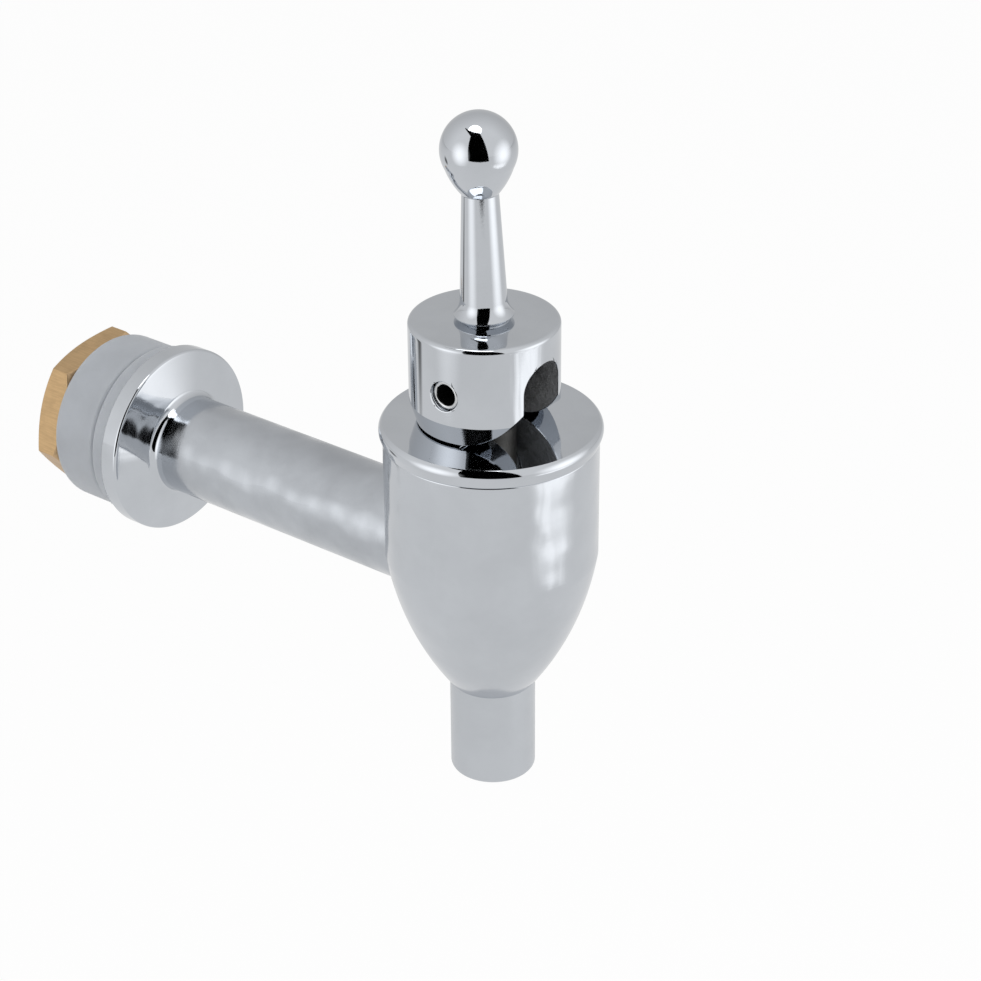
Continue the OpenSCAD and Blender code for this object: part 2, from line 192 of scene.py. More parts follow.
class Bench:
    """Modelling steps that the pieces share."""

    @staticmethod
    def pick(*pieces: Piece) -> None:
        """Select these pieces alone in object mode, with the first one active."""
        active = bpy.context.view_layer.objects.active
        if active is not None and active.mode != "OBJECT":
            bpy.ops.object.mode_set(mode="OBJECT")
        bpy.ops.object.select_all(action="DESELECT")
        for piece in pieces:
            piece.select_set(True)
        if pieces:
            bpy.context.view_layer.objects.active = pieces[0]

    @staticmethod
    @contextmanager
    def editing(piece: Piece) -> Iterator[None]:
        """Stay in edit mode with all of a piece selected at first.

        Args:
            piece: Piece to edit.

        Returns:
            Manager that leaves edit mode again at its end.
        """
        Bench.pick(piece)
        bpy.ops.object.mode_set(mode="EDIT")
        bpy.ops.mesh.select_all(action="SELECT")
        yield
        bpy.ops.object.mode_set(mode="OBJECT")

    @staticmethod
    def named(name: str) -> Piece:
        """Name the object that was just added, and return it."""
        bpy.context.object.name = bpy.context.object.data.name = name
        return bpy.context.object

    @staticmethod
    def settle(piece: Piece, turn: Triple, place: Vector) -> None:
        """Turn a piece, move it to its place and apply both to its mesh.

        Args:
            piece: Piece to lay down.
            turn: Turns about X, Y and Z in radians.
            place: Where its zero comes to lie, in metres.
        """
        Bench.pick(piece)
        piece.rotation_euler = turn
        piece.location = place
        bpy.ops.object.transform_apply(location=True, rotation=True, scale=True)

    @staticmethod
    def chain(name: str, points: Outline) -> Piece:
        """Draw a chain of edges.

        Args:
            name: Name of the new piece.
            points: Radius and height of each point in millimetres, in order.

        Returns:
            The chain, in the plane of X and Z.
        """
        Bench.pick()
        bpy.ops.mesh.primitive_plane_add(size=MM, location=NOWHERE)
        piece = Bench.named(name)
        with Bench.editing(piece):
            bpy.ops.mesh.merge(type="CENTER")
            bpy.ops.transform.translate(value=(points[0][0] * MM, 0.0, points[0][1] * MM))
            for (radius, height), (next_radius, next_height) in zip(points, points[1:]):
                step = ((next_radius - radius) * MM, 0.0, (next_height - height) * MM)
                bpy.ops.mesh.extrude_vertices_move(TRANSFORM_OT_translate={"value": step})
        return piece

    @staticmethod
    def turn(name: str, outline: Outline, lie: Lie, place: Vector, sides: int = SIDES) -> Piece:
        """Turn a closed outline round an axis, as on a lathe.

        Args:
            name: Name of the new piece.
            outline: Radius and height of each point in millimetres, in order round the section.
            lie: Axis that the piece lies on.
            place: Where the outline's zero height comes to lie, in metres.
            sides: Number of facets round the axis.

        Returns:
            The turned piece, with its place in its mesh.
        """
        piece = Bench.chain(name, [*outline, outline[0]])
        with Bench.editing(piece):
            bpy.ops.mesh.remove_doubles(threshold=MERGE)
            bpy.ops.mesh.select_all(action="SELECT")
            bpy.ops.mesh.spin(steps=sides, angle=2 * math.pi, center=(0.0, 0.0, 0.0), axis=(0.0, 0.0, 1.0))
            bpy.ops.mesh.select_all(action="SELECT")
            bpy.ops.mesh.remove_doubles(threshold=MERGE)
            bpy.ops.mesh.normals_make_consistent(inside=False)
        Bench.settle(piece, lie.value, place)
        return piece

    @staticmethod
    def plate(name: str, corners: list[Vector]) -> Piece:
        """Lay a flat face through its corners.

        Args:
            name: Name of the new piece.
            corners: Corners of the face in order, in metres.

        Returns:
            The flat piece.
        """
        Bench.pick()
        bpy.ops.mesh.primitive_circle_add(vertices=len(corners), radius=1.0, fill_type="NGON",
                                          location=NOWHERE)
        piece = Bench.named(name)
        for vertex, corner in zip(piece.data.vertices, corners):
            vertex.co = corner
        return piece

    @staticmethod
    def prism(name: str, corners: list[Vector], sweep: Triple) -> Piece:
        """Sweep a flat face into a solid.

        Args:
            name: Name of the new piece.
            corners: Corners of the face in order, in metres.
            sweep: Way of the sweep, in metres.

        Returns:
            The solid.
        """
        piece = Bench.plate(name, corners)
        with Bench.editing(piece):
            bpy.ops.mesh.extrude_region_move(TRANSFORM_OT_translate={"value": sweep})
            bpy.ops.mesh.select_all(action="SELECT")
            bpy.ops.mesh.normals_make_consistent(inside=False)
        return piece

    @staticmethod
    def apply(piece: Piece, kind: str, **settings: object) -> None:
        """Put a modifier on a piece and apply it.

        Args:
            piece: Piece that is changed.
            kind: Kind of modifier.
            settings: Its settings by name.
        """
        modifier = piece.modifiers.new(kind.lower(), kind)
        for key, value in settings.items():
            setattr(modifier, key, value)
        Bench.pick(piece)
        bpy.ops.object.modifier_apply(modifier=modifier.name)

    @staticmethod
    def combine(piece: Piece, tool: Piece, how: str = "DIFFERENCE") -> None:
        """Cut or trim a piece with a tool, which is used up."""
        Bench.apply(piece, "BOOLEAN", object=tool, operation=how, solver="EXACT")
        bpy.data.objects.remove(tool, do_unlink=True)

    @staticmethod
    def slice_flat(piece: Piece, point: Vector, normal: Triple) -> None:
        """Cut off what lies on the normal's side of a plane and close the cut.

        Args:
            piece: Piece that is cut.
            point: Point on the plane, in metres.
            normal: Direction that the plane faces.
        """
        with Bench.editing(piece):
            bpy.ops.mesh.bisect(plane_co=point, plane_no=normal, use_fill=True, clear_outer=True,
                                clear_inner=False, threshold=1e-7)

    @staticmethod
    def weld(piece: Piece, other: Piece) -> None:
        """Join another piece into the first one as one object."""
        Bench.pick(piece, other)
        bpy.ops.object.join()

    @staticmethod
    def soften(piece: Piece, width: float, angle: float) -> None:
        """Round the sharp edges of a piece.

        Args:
            piece: Piece to soften.
            width: Width of the rounding in millimetres.
            angle: Least angle of an edge that is rounded, in degrees.
        """
        Bench.apply(piece, "BEVEL", width=width * MM, segments=2, limit_method="ANGLE",
                    angle_limit=math.radians(angle), use_clamp_overlap=False, miter_outer="MITER_ARC")

    @staticmethod
    def smooth(piece: Piece, angle: float = 32.0, even: bool = True) -> None:
        """Clear a piece of loose slivers and shade it smooth, with its creases kept.

        Args:
            piece: Piece to shade.
            angle: Angle above which an edge stays a crease, in degrees.
            even: Whether large faces keep their own direction up to their edges.
        """
        with Bench.editing(piece):
            bpy.ops.mesh.select_mode(type="VERT")
            bpy.ops.mesh.select_all(action="SELECT")
            bpy.ops.mesh.remove_doubles(threshold=2 * MERGE)
            bpy.ops.mesh.dissolve_degenerate(threshold=2 * MERGE)
            bpy.ops.mesh.select_all(action="SELECT")
            bpy.ops.mesh.delete_loose(use_verts=True, use_edges=True, use_faces=True)
        bpy.ops.object.shade_smooth_by_angle(angle=math.radians(angle))
        if even:
            Bench.apply(piece, "WEIGHTED_NORMAL", keep_sharp=True, weight=60)

    @staticmethod
    def coat(piece: Piece, finish: "Finish", second: "Finish | None" = None,
             test: Test = lambda centre, normal: False) -> None:
        """Give a piece its one or two finishes.

        Args:
            piece: Piece to dress.
            finish: Finish of the piece.
            second: Finish of the faces that the test finds.
            test: Test on a face's centre and normal.
        """
        piece.data.materials.clear()
        for each in (finish, second):
            if each is not None:
                piece.data.materials.append(each.material())
        for polygon in piece.data.polygons:
            polygon.material_index = int(test(polygon.center, polygon.normal))

    @staticmethod
    def hand_over(piece: Piece, body: Body, slot: Slot, node: str) -> None:
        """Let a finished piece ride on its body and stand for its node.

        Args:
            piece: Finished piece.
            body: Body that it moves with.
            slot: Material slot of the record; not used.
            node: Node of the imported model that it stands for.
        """
        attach(piece, body.value)
        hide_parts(node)
        LOG.info("%s rides on %s with %d faces", piece.name, body.value, len(piece.data.polygons))


class Graph:
    """Short way to write the nodes of a material, a world or a node group."""

    def __init__(self, tree: bpy.types.NodeTree) -> None:
        """Start from an empty tree."""
        self.tree = tree
        tree.nodes.clear()

    @classmethod
    def of_material(cls, name: str) -> tuple[Material, "Graph"]:
        """Make a material.

        Args:
            name: Name of the material.

        Returns:
            The empty material and its graph.
        """
        material = bpy.data.materials.new(name)
        material.use_nodes = True
        return material, cls(material.node_tree)

    def add(self, kind: str, **values: object) -> bpy.types.Node:
        """Add a node and fill it in.

        Args:
            kind: Type of the node, without ShaderNode in front.
            values: Settings by their names in small letters, and inputs as feed takes them.

        Returns:
            The new node.
        """
        node = self.tree.nodes.new(kind if kind.startswith("Node") else "ShaderNode" + kind)
        for key, value in values.items():
            if hasattr(node, key):
                setattr(node, key, value)
            else:
                self.feed(node, **{key: value})
        return node

    def feed(self, node: bpy.types.Node, **inputs: object) -> None:
        """Set or link inputs of a node.

        Args:
            node: Node that is fed.
            inputs: A value or a socket for each input, by the input's name with underscores for
                spaces, or by its number after an I.
        """
        for key, value in inputs.items():
            socket = node.inputs[int(key[1:]) if key[1:].isdigit() else key.replace("_", " ")]
            if isinstance(value, Socket):
                self.tree.links.new(value, socket)
            else:
                socket.default_value = value

    def noise(self, vector: Socket, scale: object, detail: float, rough: float) -> Socket:
        """Noise value at a vector."""
        return self.add("TexNoise", Vector=vector, Scale=scale, Detail=detail, Roughness=rough).outputs["Fac"]

    def math(self, how: str, first: object, second: object = 0.0) -> Socket:
        """Result of a math node."""
        return self.add("Math", operation=how, I0=first, I1=second).outputs[0]

    def ramp(self, value: Socket, low: float, high: float, out_low: float, out_high: float) -> Socket:
        """Value mapped from one range onto another and held at its ends."""
        return self.add("MapRange", clamp=True, Value=value, From_Min=low, From_Max=high, To_Min=out_low,
                        To_Max=out_high).outputs[0]

    def mix(self, factor: Socket, first: object, second: object) -> Socket:
        """Colour between two colours."""
        return self.add("Mix", data_type="RGBA", I0=factor, I6=first, I7=second).outputs[2]

    def bump(self, height: Socket, strength: float, distance: float, **more: Socket) -> Socket:
        """Normal of a surface that a height raises by up to a distance in metres."""
        return self.add("Bump", Strength=strength, Distance=distance, Height=height, **more).outputs[0]


def haze(graph: Graph, given: bpy.types.NodeOutputs) -> dict[str, Socket]:
    """Soft cloudiness of a plated or wiped surface: a mask and a gentle wave of its level.

    Args:
        graph: Graph of the group.
        given: Inputs of the group.

    Returns:
        Outputs of the group by name.
    """
    cloud = graph.noise(given[0], given["Cloud Scale"], 5.0, 0.6)
    wave = graph.noise(given[0], given["Wave Scale"], 1.0, 0.4)
    return {"Mask": graph.ramp(cloud, 0.38, 0.66, 0.0, 1.0), "Wave": wave}


def grain(graph: Graph, given: bpy.types.NodeOutputs) -> dict[str, Socket]:
    """Fine uneven grain of a cast, blasted or moulded surface.

    Args:
        graph: Graph of the group.
        given: Inputs of the group.

    Returns:
        Outputs of the group by name.
    """
    broad = graph.math("MULTIPLY", given["Scale"], 0.14)
    return {"Grain": graph.noise(given[0], given["Scale"], 6.0, 0.65),
            "Patches": graph.noise(given[0], broad, 3.0, 0.55)}


def turning(graph: Graph, given: bpy.types.NodeOutputs) -> dict[str, Socket]:
    """Hairlines that a lathe or a polishing wheel leaves round the +Z axis of the vector.

    Args:
        graph: Graph of the group.
        given: Inputs of the group.

    Returns:
        Outputs of the group by name.
    """
    x_part, y_part, z_part = graph.add("SeparateXYZ", Vector=given[0]).outputs
    squares = graph.math("ADD", graph.math("MULTIPLY", x_part, x_part),
                         graph.math("MULTIPLY", y_part, y_part))
    along = graph.math("ADD", graph.math("MULTIPLY", graph.math("SQRT", squares), 1.13), z_part)
    fine = graph.add("CombineXYZ", X=graph.math("MULTIPLY", x_part, given["Waver"]),
                     Y=graph.math("MULTIPLY", y_part, given["Waver"]),
                     Z=graph.math("MULTIPLY", along, given["Fineness"]))
    return {"Lines": graph.noise(fine.outputs[0], 1.0, 3.0, 0.6)}


@dataclass(frozen=True)
class Effect:
    """A shader node group that several finishes use."""

    name: str
    write: Callable[[Graph, bpy.types.NodeOutputs], dict[str, Socket]]
    inputs: tuple[tuple[str, float], ...]

    def group(self) -> bpy.types.NodeTree:
        """Build the group when it is first asked for.

        Returns:
            The node group, with a Vector input, number inputs and number outputs.
        """
        found = bpy.data.node_groups.get(self.name)
        if found is not None:
            return found
        tree = bpy.data.node_groups.new(self.name, "ShaderNodeTree")
        graph = Graph(tree)
        tree.interface.new_socket("Vector", in_out="INPUT", socket_type="NodeSocketVector")
        for key, value in self.inputs:
            socket = tree.interface.new_socket(key, in_out="INPUT", socket_type="NodeSocketFloat")
            socket.default_value = value
        made = self.write(graph, graph.add("NodeGroupInput").outputs)
        for key in made:
            tree.interface.new_socket(key, in_out="OUTPUT", socket_type="NodeSocketFloat")
        graph.feed(graph.add("NodeGroupOutput"), **made)
        return tree

    def put(self, graph: Graph, spot: Socket, **inputs: float) -> bpy.types.NodeOutputs:
        """Place the group in a material.

        Args:
            graph: Graph of the material.
            spot: Coordinates.
            inputs: Values of the number inputs.

        Returns:
            Outputs of the group.
        """
        return graph.add("Group", node_tree=self.group(), Vector=spot, **inputs).outputs


HAZE = Effect("plating haze", haze, (("Cloud Scale", 90.0), ("Wave Scale", 45.0)))
GRAIN = Effect("surface grain", grain, (("Scale", 2500.0),))
TURNING = Effect("turning lines", turning, (("Fineness", 9000.0), ("Waver", 60.0)))


@dataclass(frozen=True)
class Finish:
    """A surface finish: name, colour, roughness and how they are made."""

    name: str
    colour: Triple
    rough: float = 0.1

    def material(self) -> Material:
        """Build the material of this finish when it is first asked for.

        Returns:
            The material.
        """
        found = bpy.data.materials.get(self.name)
        if found is not None:
            return found
        material, graph = Graph.of_material(self.name)
        values = self.paint(graph, graph.add("TexCoord").outputs["Object"])
        shader = graph.add("BsdfPrincipled", **values)
        graph.add("OutputMaterial", Surface=shader.outputs[0])
        return material

    def paint(self, graph: Graph, spot: Socket) -> dict[str, object]:
        """Add the nodes that vary this finish over the surface.

        Args:
            graph: Graph of the material.
            spot: Object coordinates.

        Returns:
            Inputs of the shader by name.
        """
        raise NotImplementedError

    def shade(self, factor: float) -> tuple[float, float, float, float]:
        """This finish's colour made lighter or darker."""
        return (*[min(1.0, part * factor) for part in self.colour], 1.0)


@dataclass(frozen=True)
class Plated(Finish):
    """Chrome plate, from a mirror to a satin, with haze, turning lines and a slight wave."""

    lie: Lie = Lie.BARREL
    haze: float = 0.05
    lines: float = 0.02
    wave: float = 0.1
    wave_scale: float = 45.0
    clouds: float = 0.06

    def paint(self, graph: Graph, spot: Socket) -> dict[str, object]:
        """Add the nodes of the plate.

        Args:
            graph: Graph of the material.
            spot: Object coordinates.

        Returns:
            Inputs of the shader by name.
        """
        place = LAYOUT.tail() if self.lie is Lie.TAIL else LAYOUT.barrel()
        centred = graph.add("Mapping", vector_type="TEXTURE", Vector=spot, Location=place,
                            Rotation=self.lie.value).outputs[0]
        mask, wave = HAZE.put(graph, spot, Wave_Scale=self.wave_scale)
        lines = TURNING.put(graph, centred)[0]
        base = graph.ramp(mask, 0.0, 1.0, self.rough, self.rough + self.haze)
        lined = graph.ramp(lines, 0.35, 0.7, -0.5, 0.5)
        return {"Base_Color": graph.mix(mask, self.shade(1.0), self.shade(1.0 - self.clouds)),
                "Metallic": 1.0,
                "Roughness": graph.math("ADD", base, graph.math("MULTIPLY", lined, self.haze * 0.6)),
                "Normal": graph.bump(wave, self.wave, 0.0015, Normal=graph.bump(lines, self.lines, 0.00005))}


@dataclass(frozen=True)
class Cast(Finish):
    """Rough, uneven casting with a patchy tone, grey in the slot; in the bores its near-black colour is
    painted shade.
    """

    bump: float = 0.6
    metallic: float = 0.8

    def paint(self, graph: Graph, spot: Socket) -> dict[str, object]:
        """Add the nodes of the casting.

        Args:
            graph: Graph of the material.
            spot: Object coordinates.

        Returns:
            Inputs of the shader by name.
        """
        fine, patches = GRAIN.put(graph, spot, Scale=900.0)
        patches = graph.ramp(patches, 0.35, 0.65, 0.0, 1.0)
        return {"Base_Color": graph.mix(patches, self.shade(0.55), self.shade(1.6)),
                "Metallic": self.metallic,
                "Roughness": graph.ramp(fine, 0.3, 0.7, self.rough - 0.1, self.rough + 0.15),
                "Normal": graph.bump(fine, self.bump, 0.0005)}


@dataclass(frozen=True)
class Machined(Finish):
    """Bare machined brass or steel, with cutter streaks along one way and a fine grain."""

    stretch: Triple = (5200.0, 260.0, 5200.0)
    streak: float = 0.5
    grain_share: float = 0.3
    metallic: float = 1.0

    def paint(self, graph: Graph, spot: Socket) -> dict[str, object]:
        """Add the nodes of the machined metal.

        Args:
            graph: Graph of the material.
            spot: Object coordinates.

        Returns:
            Inputs of the shader by name.
        """
        stretched = graph.add("Mapping", Vector=spot, Scale=self.stretch).outputs[0]
        streaks = graph.noise(stretched, 1.0, 4.0, 0.65)
        fine, patches = GRAIN.put(graph, spot, Scale=4200.0)
        light = graph.mix(graph.ramp(streaks, 0.36, 0.64, 0.0, 1.0), self.shade(0.9), self.shade(1.06))
        level = graph.math("ADD", graph.math("MULTIPLY", streaks, self.streak),
                           graph.math("MULTIPLY", fine, self.grain_share))
        return {"Base_Color": graph.mix(graph.ramp(patches, 0.4, 0.7, 0.0, 0.35), light, self.shade(0.7)),
                "Metallic": self.metallic,
                "Roughness": graph.ramp(streaks, 0.3, 0.7, self.rough + 0.08, self.rough - 0.06),
                "Normal": graph.bump(level, 0.5, 0.00006)}


@dataclass(frozen=True)
class Moulded(Finish):
    """Moulded silicone or rubber, matt, with cloudy depth and a faint skin."""

    clouds: float = 0.08
    glow: float = 0.0
    sheen: float = 0.0

    def paint(self, graph: Graph, spot: Socket) -> dict[str, object]:
        """Add the nodes of the moulding.

        Args:
            graph: Graph of the material.
            spot: Object coordinates.

        Returns:
            Inputs of the shader by name.
        """
        mask = HAZE.put(graph, spot, Cloud_Scale=160.0)["Mask"]
        fine = GRAIN.put(graph, spot, Scale=1800.0)["Grain"]
        return {"Base_Color": graph.mix(mask, self.shade(1.0 + self.clouds), self.shade(1.0 - self.clouds)),
                "Roughness": graph.ramp(fine, 0.3, 0.7, self.rough - 0.06, self.rough + 0.08),
                "Normal": graph.bump(fine, 0.12, 0.00005),
                "Subsurface_Weight": self.glow, "Subsurface_Radius": (0.004, 0.004, 0.0045),
                "Subsurface_Scale": 1.0, "Sheen_Weight": self.sheen}


CHROME_TONE = (0.605, 0.63, 0.665)
# Arm's chrome tone, darker than the rest of the same plating: painted shade.
ARM_PAINTED_SHADE_TONE = (0.535, 0.56, 0.595)
MIRROR = Plated("chrome_mirror", CHROME_TONE, 0.035, haze=0.03, wave=0.04)
MIRROR_TAIL = Plated("chrome_mirror_flange", CHROME_TONE, 0.05, lie=Lie.TAIL, haze=0.03, wave=0.05)
POLISHED = Plated("chrome_barrel", CHROME_TONE, 0.08, lines=0.05, wave=0.3, wave_scale=110.0)
POLISHED_TAIL = Plated("chrome_arm_painted_shade", ARM_PAINTED_SHADE_TONE, 0.1, lie=Lie.TAIL, haze=0.12, lines=0.08, wave=0.34,
                       wave_scale=150.0, clouds=0.14)
SATIN = Plated("chrome_spout", CHROME_TONE, 0.2, haze=0.06, lines=0.08, wave=0.05)
RAW_CAST = Cast("raw_slot", (0.3, 0.304, 0.31), 0.46, bump=1.0, metallic=0.6)
# Near-black colour of the bores and chambers: painted shade in the recesses.
PAINTED_SHADE_BORE = Cast("painted_shade_bore", (0.012, 0.012, 0.013), 0.5, bump=0.3)
BRASS = Machined("brass_nut", (0.61, 0.415, 0.22), 0.36, streak=0.3)
BRASS_FACE = Machined("brass_nut_face", (0.63, 0.44, 0.255), 0.38, (700.0, 700.0, 700.0), 0.15, 0.5)
STEM_DULL = Machined("dull_stem", (0.13, 0.125, 0.115), 0.45, (300.0, 300.0, 5000.0), metallic=0.85)
BRASS_TURNED = Machined("brass_valve", (0.6, 0.4, 0.2), 0.3, (300.0, 300.0, 6000.0))
PIN_RING = Machined("pin_ring", (0.66, 0.67, 0.68), 0.16, (3000.0, 500.0, 500.0), 0.2)
STEEL = Machined("steel_pin", (0.42, 0.43, 0.45), 0.22, (6000.0, 400.0, 400.0), 0.3)
SPRING = Machined("spring_wire", (0.4, 0.41, 0.43), 0.26, (900.0, 900.0, 900.0), 0.2)
SILICONE = Moulded("grey_silicone", (0.45, 0.475, 0.51), 0.42, clouds=0.04, glow=0.35, sheen=0.05)
SEAL = Moulded("black_seal", (0.02, 0.02, 0.021), 0.55, clouds=0.2)
PLUG = Moulded("white_plug", (0.62, 0.62, 0.58), 0.5, clouds=0.05, glow=0.2)


@dataclass
class Barrel:
    """Tulip body with its spout and bonnet. Heights are from the bonnet's top face."""

    body_radius: float = 15.85
    body_edge: float = 0.25
    neck_radius: float = 6.6
    taper_radius: float = 50.0
    taper_steps: int = 44
    wall_rings: tuple[float, ...] = (-4.0, -8.0, -12.0, -16.0, -19.0, -20.6)
    chamber_radius: float = 11.0
    chamber_top: float = -11.7
    chamber_floor: float = -30.8
    chamber_reach: float = 14.4
    seal_floor: float = -3.9
    seal_width: float = 1.28
    outlet_radius: float = 4.5
    seat_radius: float = 6.42
    seat_depth: float = 2.0
    skirt_radius: float = 13.0
    skirt_length: float = 8.0
    skirt_chamfer: float = 0.5
    skirt_wall: float = 2.4
    arm_hole: float = 6.82
    spigot_radius: float = 5.5
    spigot_length: float = 6.0
    spigot_room: float = 6.2
    spout_radius: float = 6.5
    spout_chamfer: float = 0.12
    spout_bore: float = 5.0
    spout_length: float = 15.8
    spout_round: float = 0.7
    spout_lip: float = 0.25
    bonnet_radius: float = 16.4
    bonnet_round: float = 1.5
    bonnet_lip: float = 1.115
    bonnet_foot: float = 0.16
    bonnet_overhang: float = 0.15
    boss_radius: float = 5.5
    plate: float = 4.2
    stem_hole: float = 3.75

    def taper(self) -> Outline:
        """Draw the body from its straight part down to the neck.

        Returns:
            Points of the arc.
        """
        drop = self.body_radius - self.neck_radius
        height = LAYOUT.taper_top - LAYOUT.neck
        chord = math.hypot(drop, height)
        sag = math.sqrt(self.taper_radius ** 2 - (chord / 2) ** 2)
        centre = ((self.body_radius + self.neck_radius) / 2 - sag * height / chord,
                  LAYOUT.taper_top - height / 2 + sag * drop / chord)
        start = math.degrees(math.atan2(LAYOUT.taper_top - centre[1], self.body_radius - centre[0]))
        end = math.degrees(math.atan2(LAYOUT.neck - centre[1], self.neck_radius - centre[0]))
        return arc(centre, self.taper_radius, start, end, self.taper_steps)

    def outside(self) -> Outline:
        """Draw the body's outside, from the seam under the bonnet to the neck.

        Returns:
            Points of the outline.
        """
        edge = self.body_edge
        top = arc((self.body_radius - edge, LAYOUT.seam - edge), edge, 90, 0, 5)
        return [*top, *[(self.body_radius, height) for height in self.wall_rings], *self.taper()]

    def body(self) -> Piece:
        """Body with its chamber, outlet and the hole for the arm.

        Returns:
            The dressed piece.
        """
        skirt = self.skirt_radius + LAYOUT.seam_gap
        socket = self.spigot_radius + LAYOUT.seam_gap
        stop = LAYOUT.neck + self.spigot_room
        seat = self.chamber_floor - self.seat_depth
        inside = [(socket, LAYOUT.neck), (socket, stop), (self.outlet_radius, stop),
                  (self.outlet_radius, seat), (self.seat_radius, seat),
                  (self.seat_radius, self.chamber_floor),
                  (self.chamber_radius, self.chamber_floor), (self.chamber_radius, self.chamber_top),
                  (skirt, self.chamber_top), (skirt, self.seal_floor),
                  (skirt + self.seal_width, self.seal_floor), (skirt + self.seal_width, LAYOUT.seam)]
        piece = Bench.turn("tulip_body", [*self.outside(), *inside], Lie.BARREL, LAYOUT.barrel())
        hole = Bench.turn("arm_hole_tool", [(0, 0), (self.arm_hole, 0), (self.arm_hole, 20), (0, 20)],
                          Lie.TAIL, LAYOUT.tail(-LAYOUT.arm_reach), 96)
        Bench.combine(piece, hole)
        Bench.smooth(piece)
        Bench.coat(piece, POLISHED, PAINTED_SHADE_BORE, facing_in(Lie.BARREL, self.chamber_reach))
        return piece

    def spout(self) -> Piece:
        """Spout tube with its rounded end and the spigot inside the body.

        Returns:
            The dressed piece.
        """
        neck = LAYOUT.neck
        low = neck - self.spout_length
        edge = self.spout_round
        lip = self.spout_lip
        outline = [(self.spigot_radius, neck + self.spigot_length), (self.spigot_radius, neck),
                   (self.spout_radius - self.spout_chamfer, neck),
                   (self.spout_radius, neck - self.spout_chamfer),
                   (self.spout_radius, neck - 5.0), (self.spout_radius, low + edge + 0.4),
                   *arc((self.spout_radius - edge, low + edge), edge, 0, -90, 8),
                   *arc((self.spout_bore + lip, low + lip), lip, -90, -180, 5),
                   (self.spout_bore, low + 2.0), (self.spout_bore, neck - 1.5),
                   (self.outlet_radius, neck - 1.5),
                   (self.outlet_radius, neck + self.spigot_length)]
        piece = Bench.turn("spout_turned", outline, Lie.BARREL, LAYOUT.barrel())
        Bench.smooth(piece)
        Bench.coat(piece, SATIN, PAINTED_SHADE_BORE, facing_in(Lie.BARREL, self.spout_bore + LAYOUT.seam_gap))
        return piece

    def bonnet(self) -> Piece:
        """Bonnet with its mirror face, rounded rim, skirt and guide for the stem.

        Returns:
            The dressed piece.
        """
        edge = self.bonnet_round
        seam = LAYOUT.seam
        low = seam - self.skirt_length
        foot = self.bonnet_foot
        rim_foot = self.body_radius + self.bonnet_overhang
        inner = self.skirt_radius - self.skirt_wall
        first = math.degrees(math.asin(self.bonnet_lip / edge))
        outline = [(self.stem_hole, 0.0), (8.0, 0.0), (14.0, 0.0),
                   *arc((self.bonnet_radius - edge, -self.bonnet_lip), edge, first + 5.0, -15.0, 16),
                   (rim_foot + 0.02, seam + foot + 0.05),
                   *arc((rim_foot - foot, seam + foot), foot, 0, -90, 4),
                   (self.skirt_radius, seam), (self.skirt_radius, low + self.skirt_chamfer),
                   (self.skirt_radius - self.skirt_chamfer, low), (inner, low), (inner, -self.plate),
                   (self.boss_radius, -self.plate), (self.boss_radius, low), (self.stem_hole, low)]
        piece = Bench.turn("bonnet_turned", outline, Lie.BARREL, LAYOUT.barrel())
        Bench.smooth(piece)
        Bench.coat(piece, MIRROR)
        return piece

    def build(self) -> None:
        """Build and hand over the body, the spout and the bonnet."""
        Bench.hand_over(self.body(), Body.TAP, Slot.CHROME, "body_shell")
        Bench.hand_over(self.spout(), Body.TAP, Slot.CHROME, "spout_tube")
        Bench.hand_over(self.bonnet(), Body.TAP, Slot.CHROME, "bonnet")


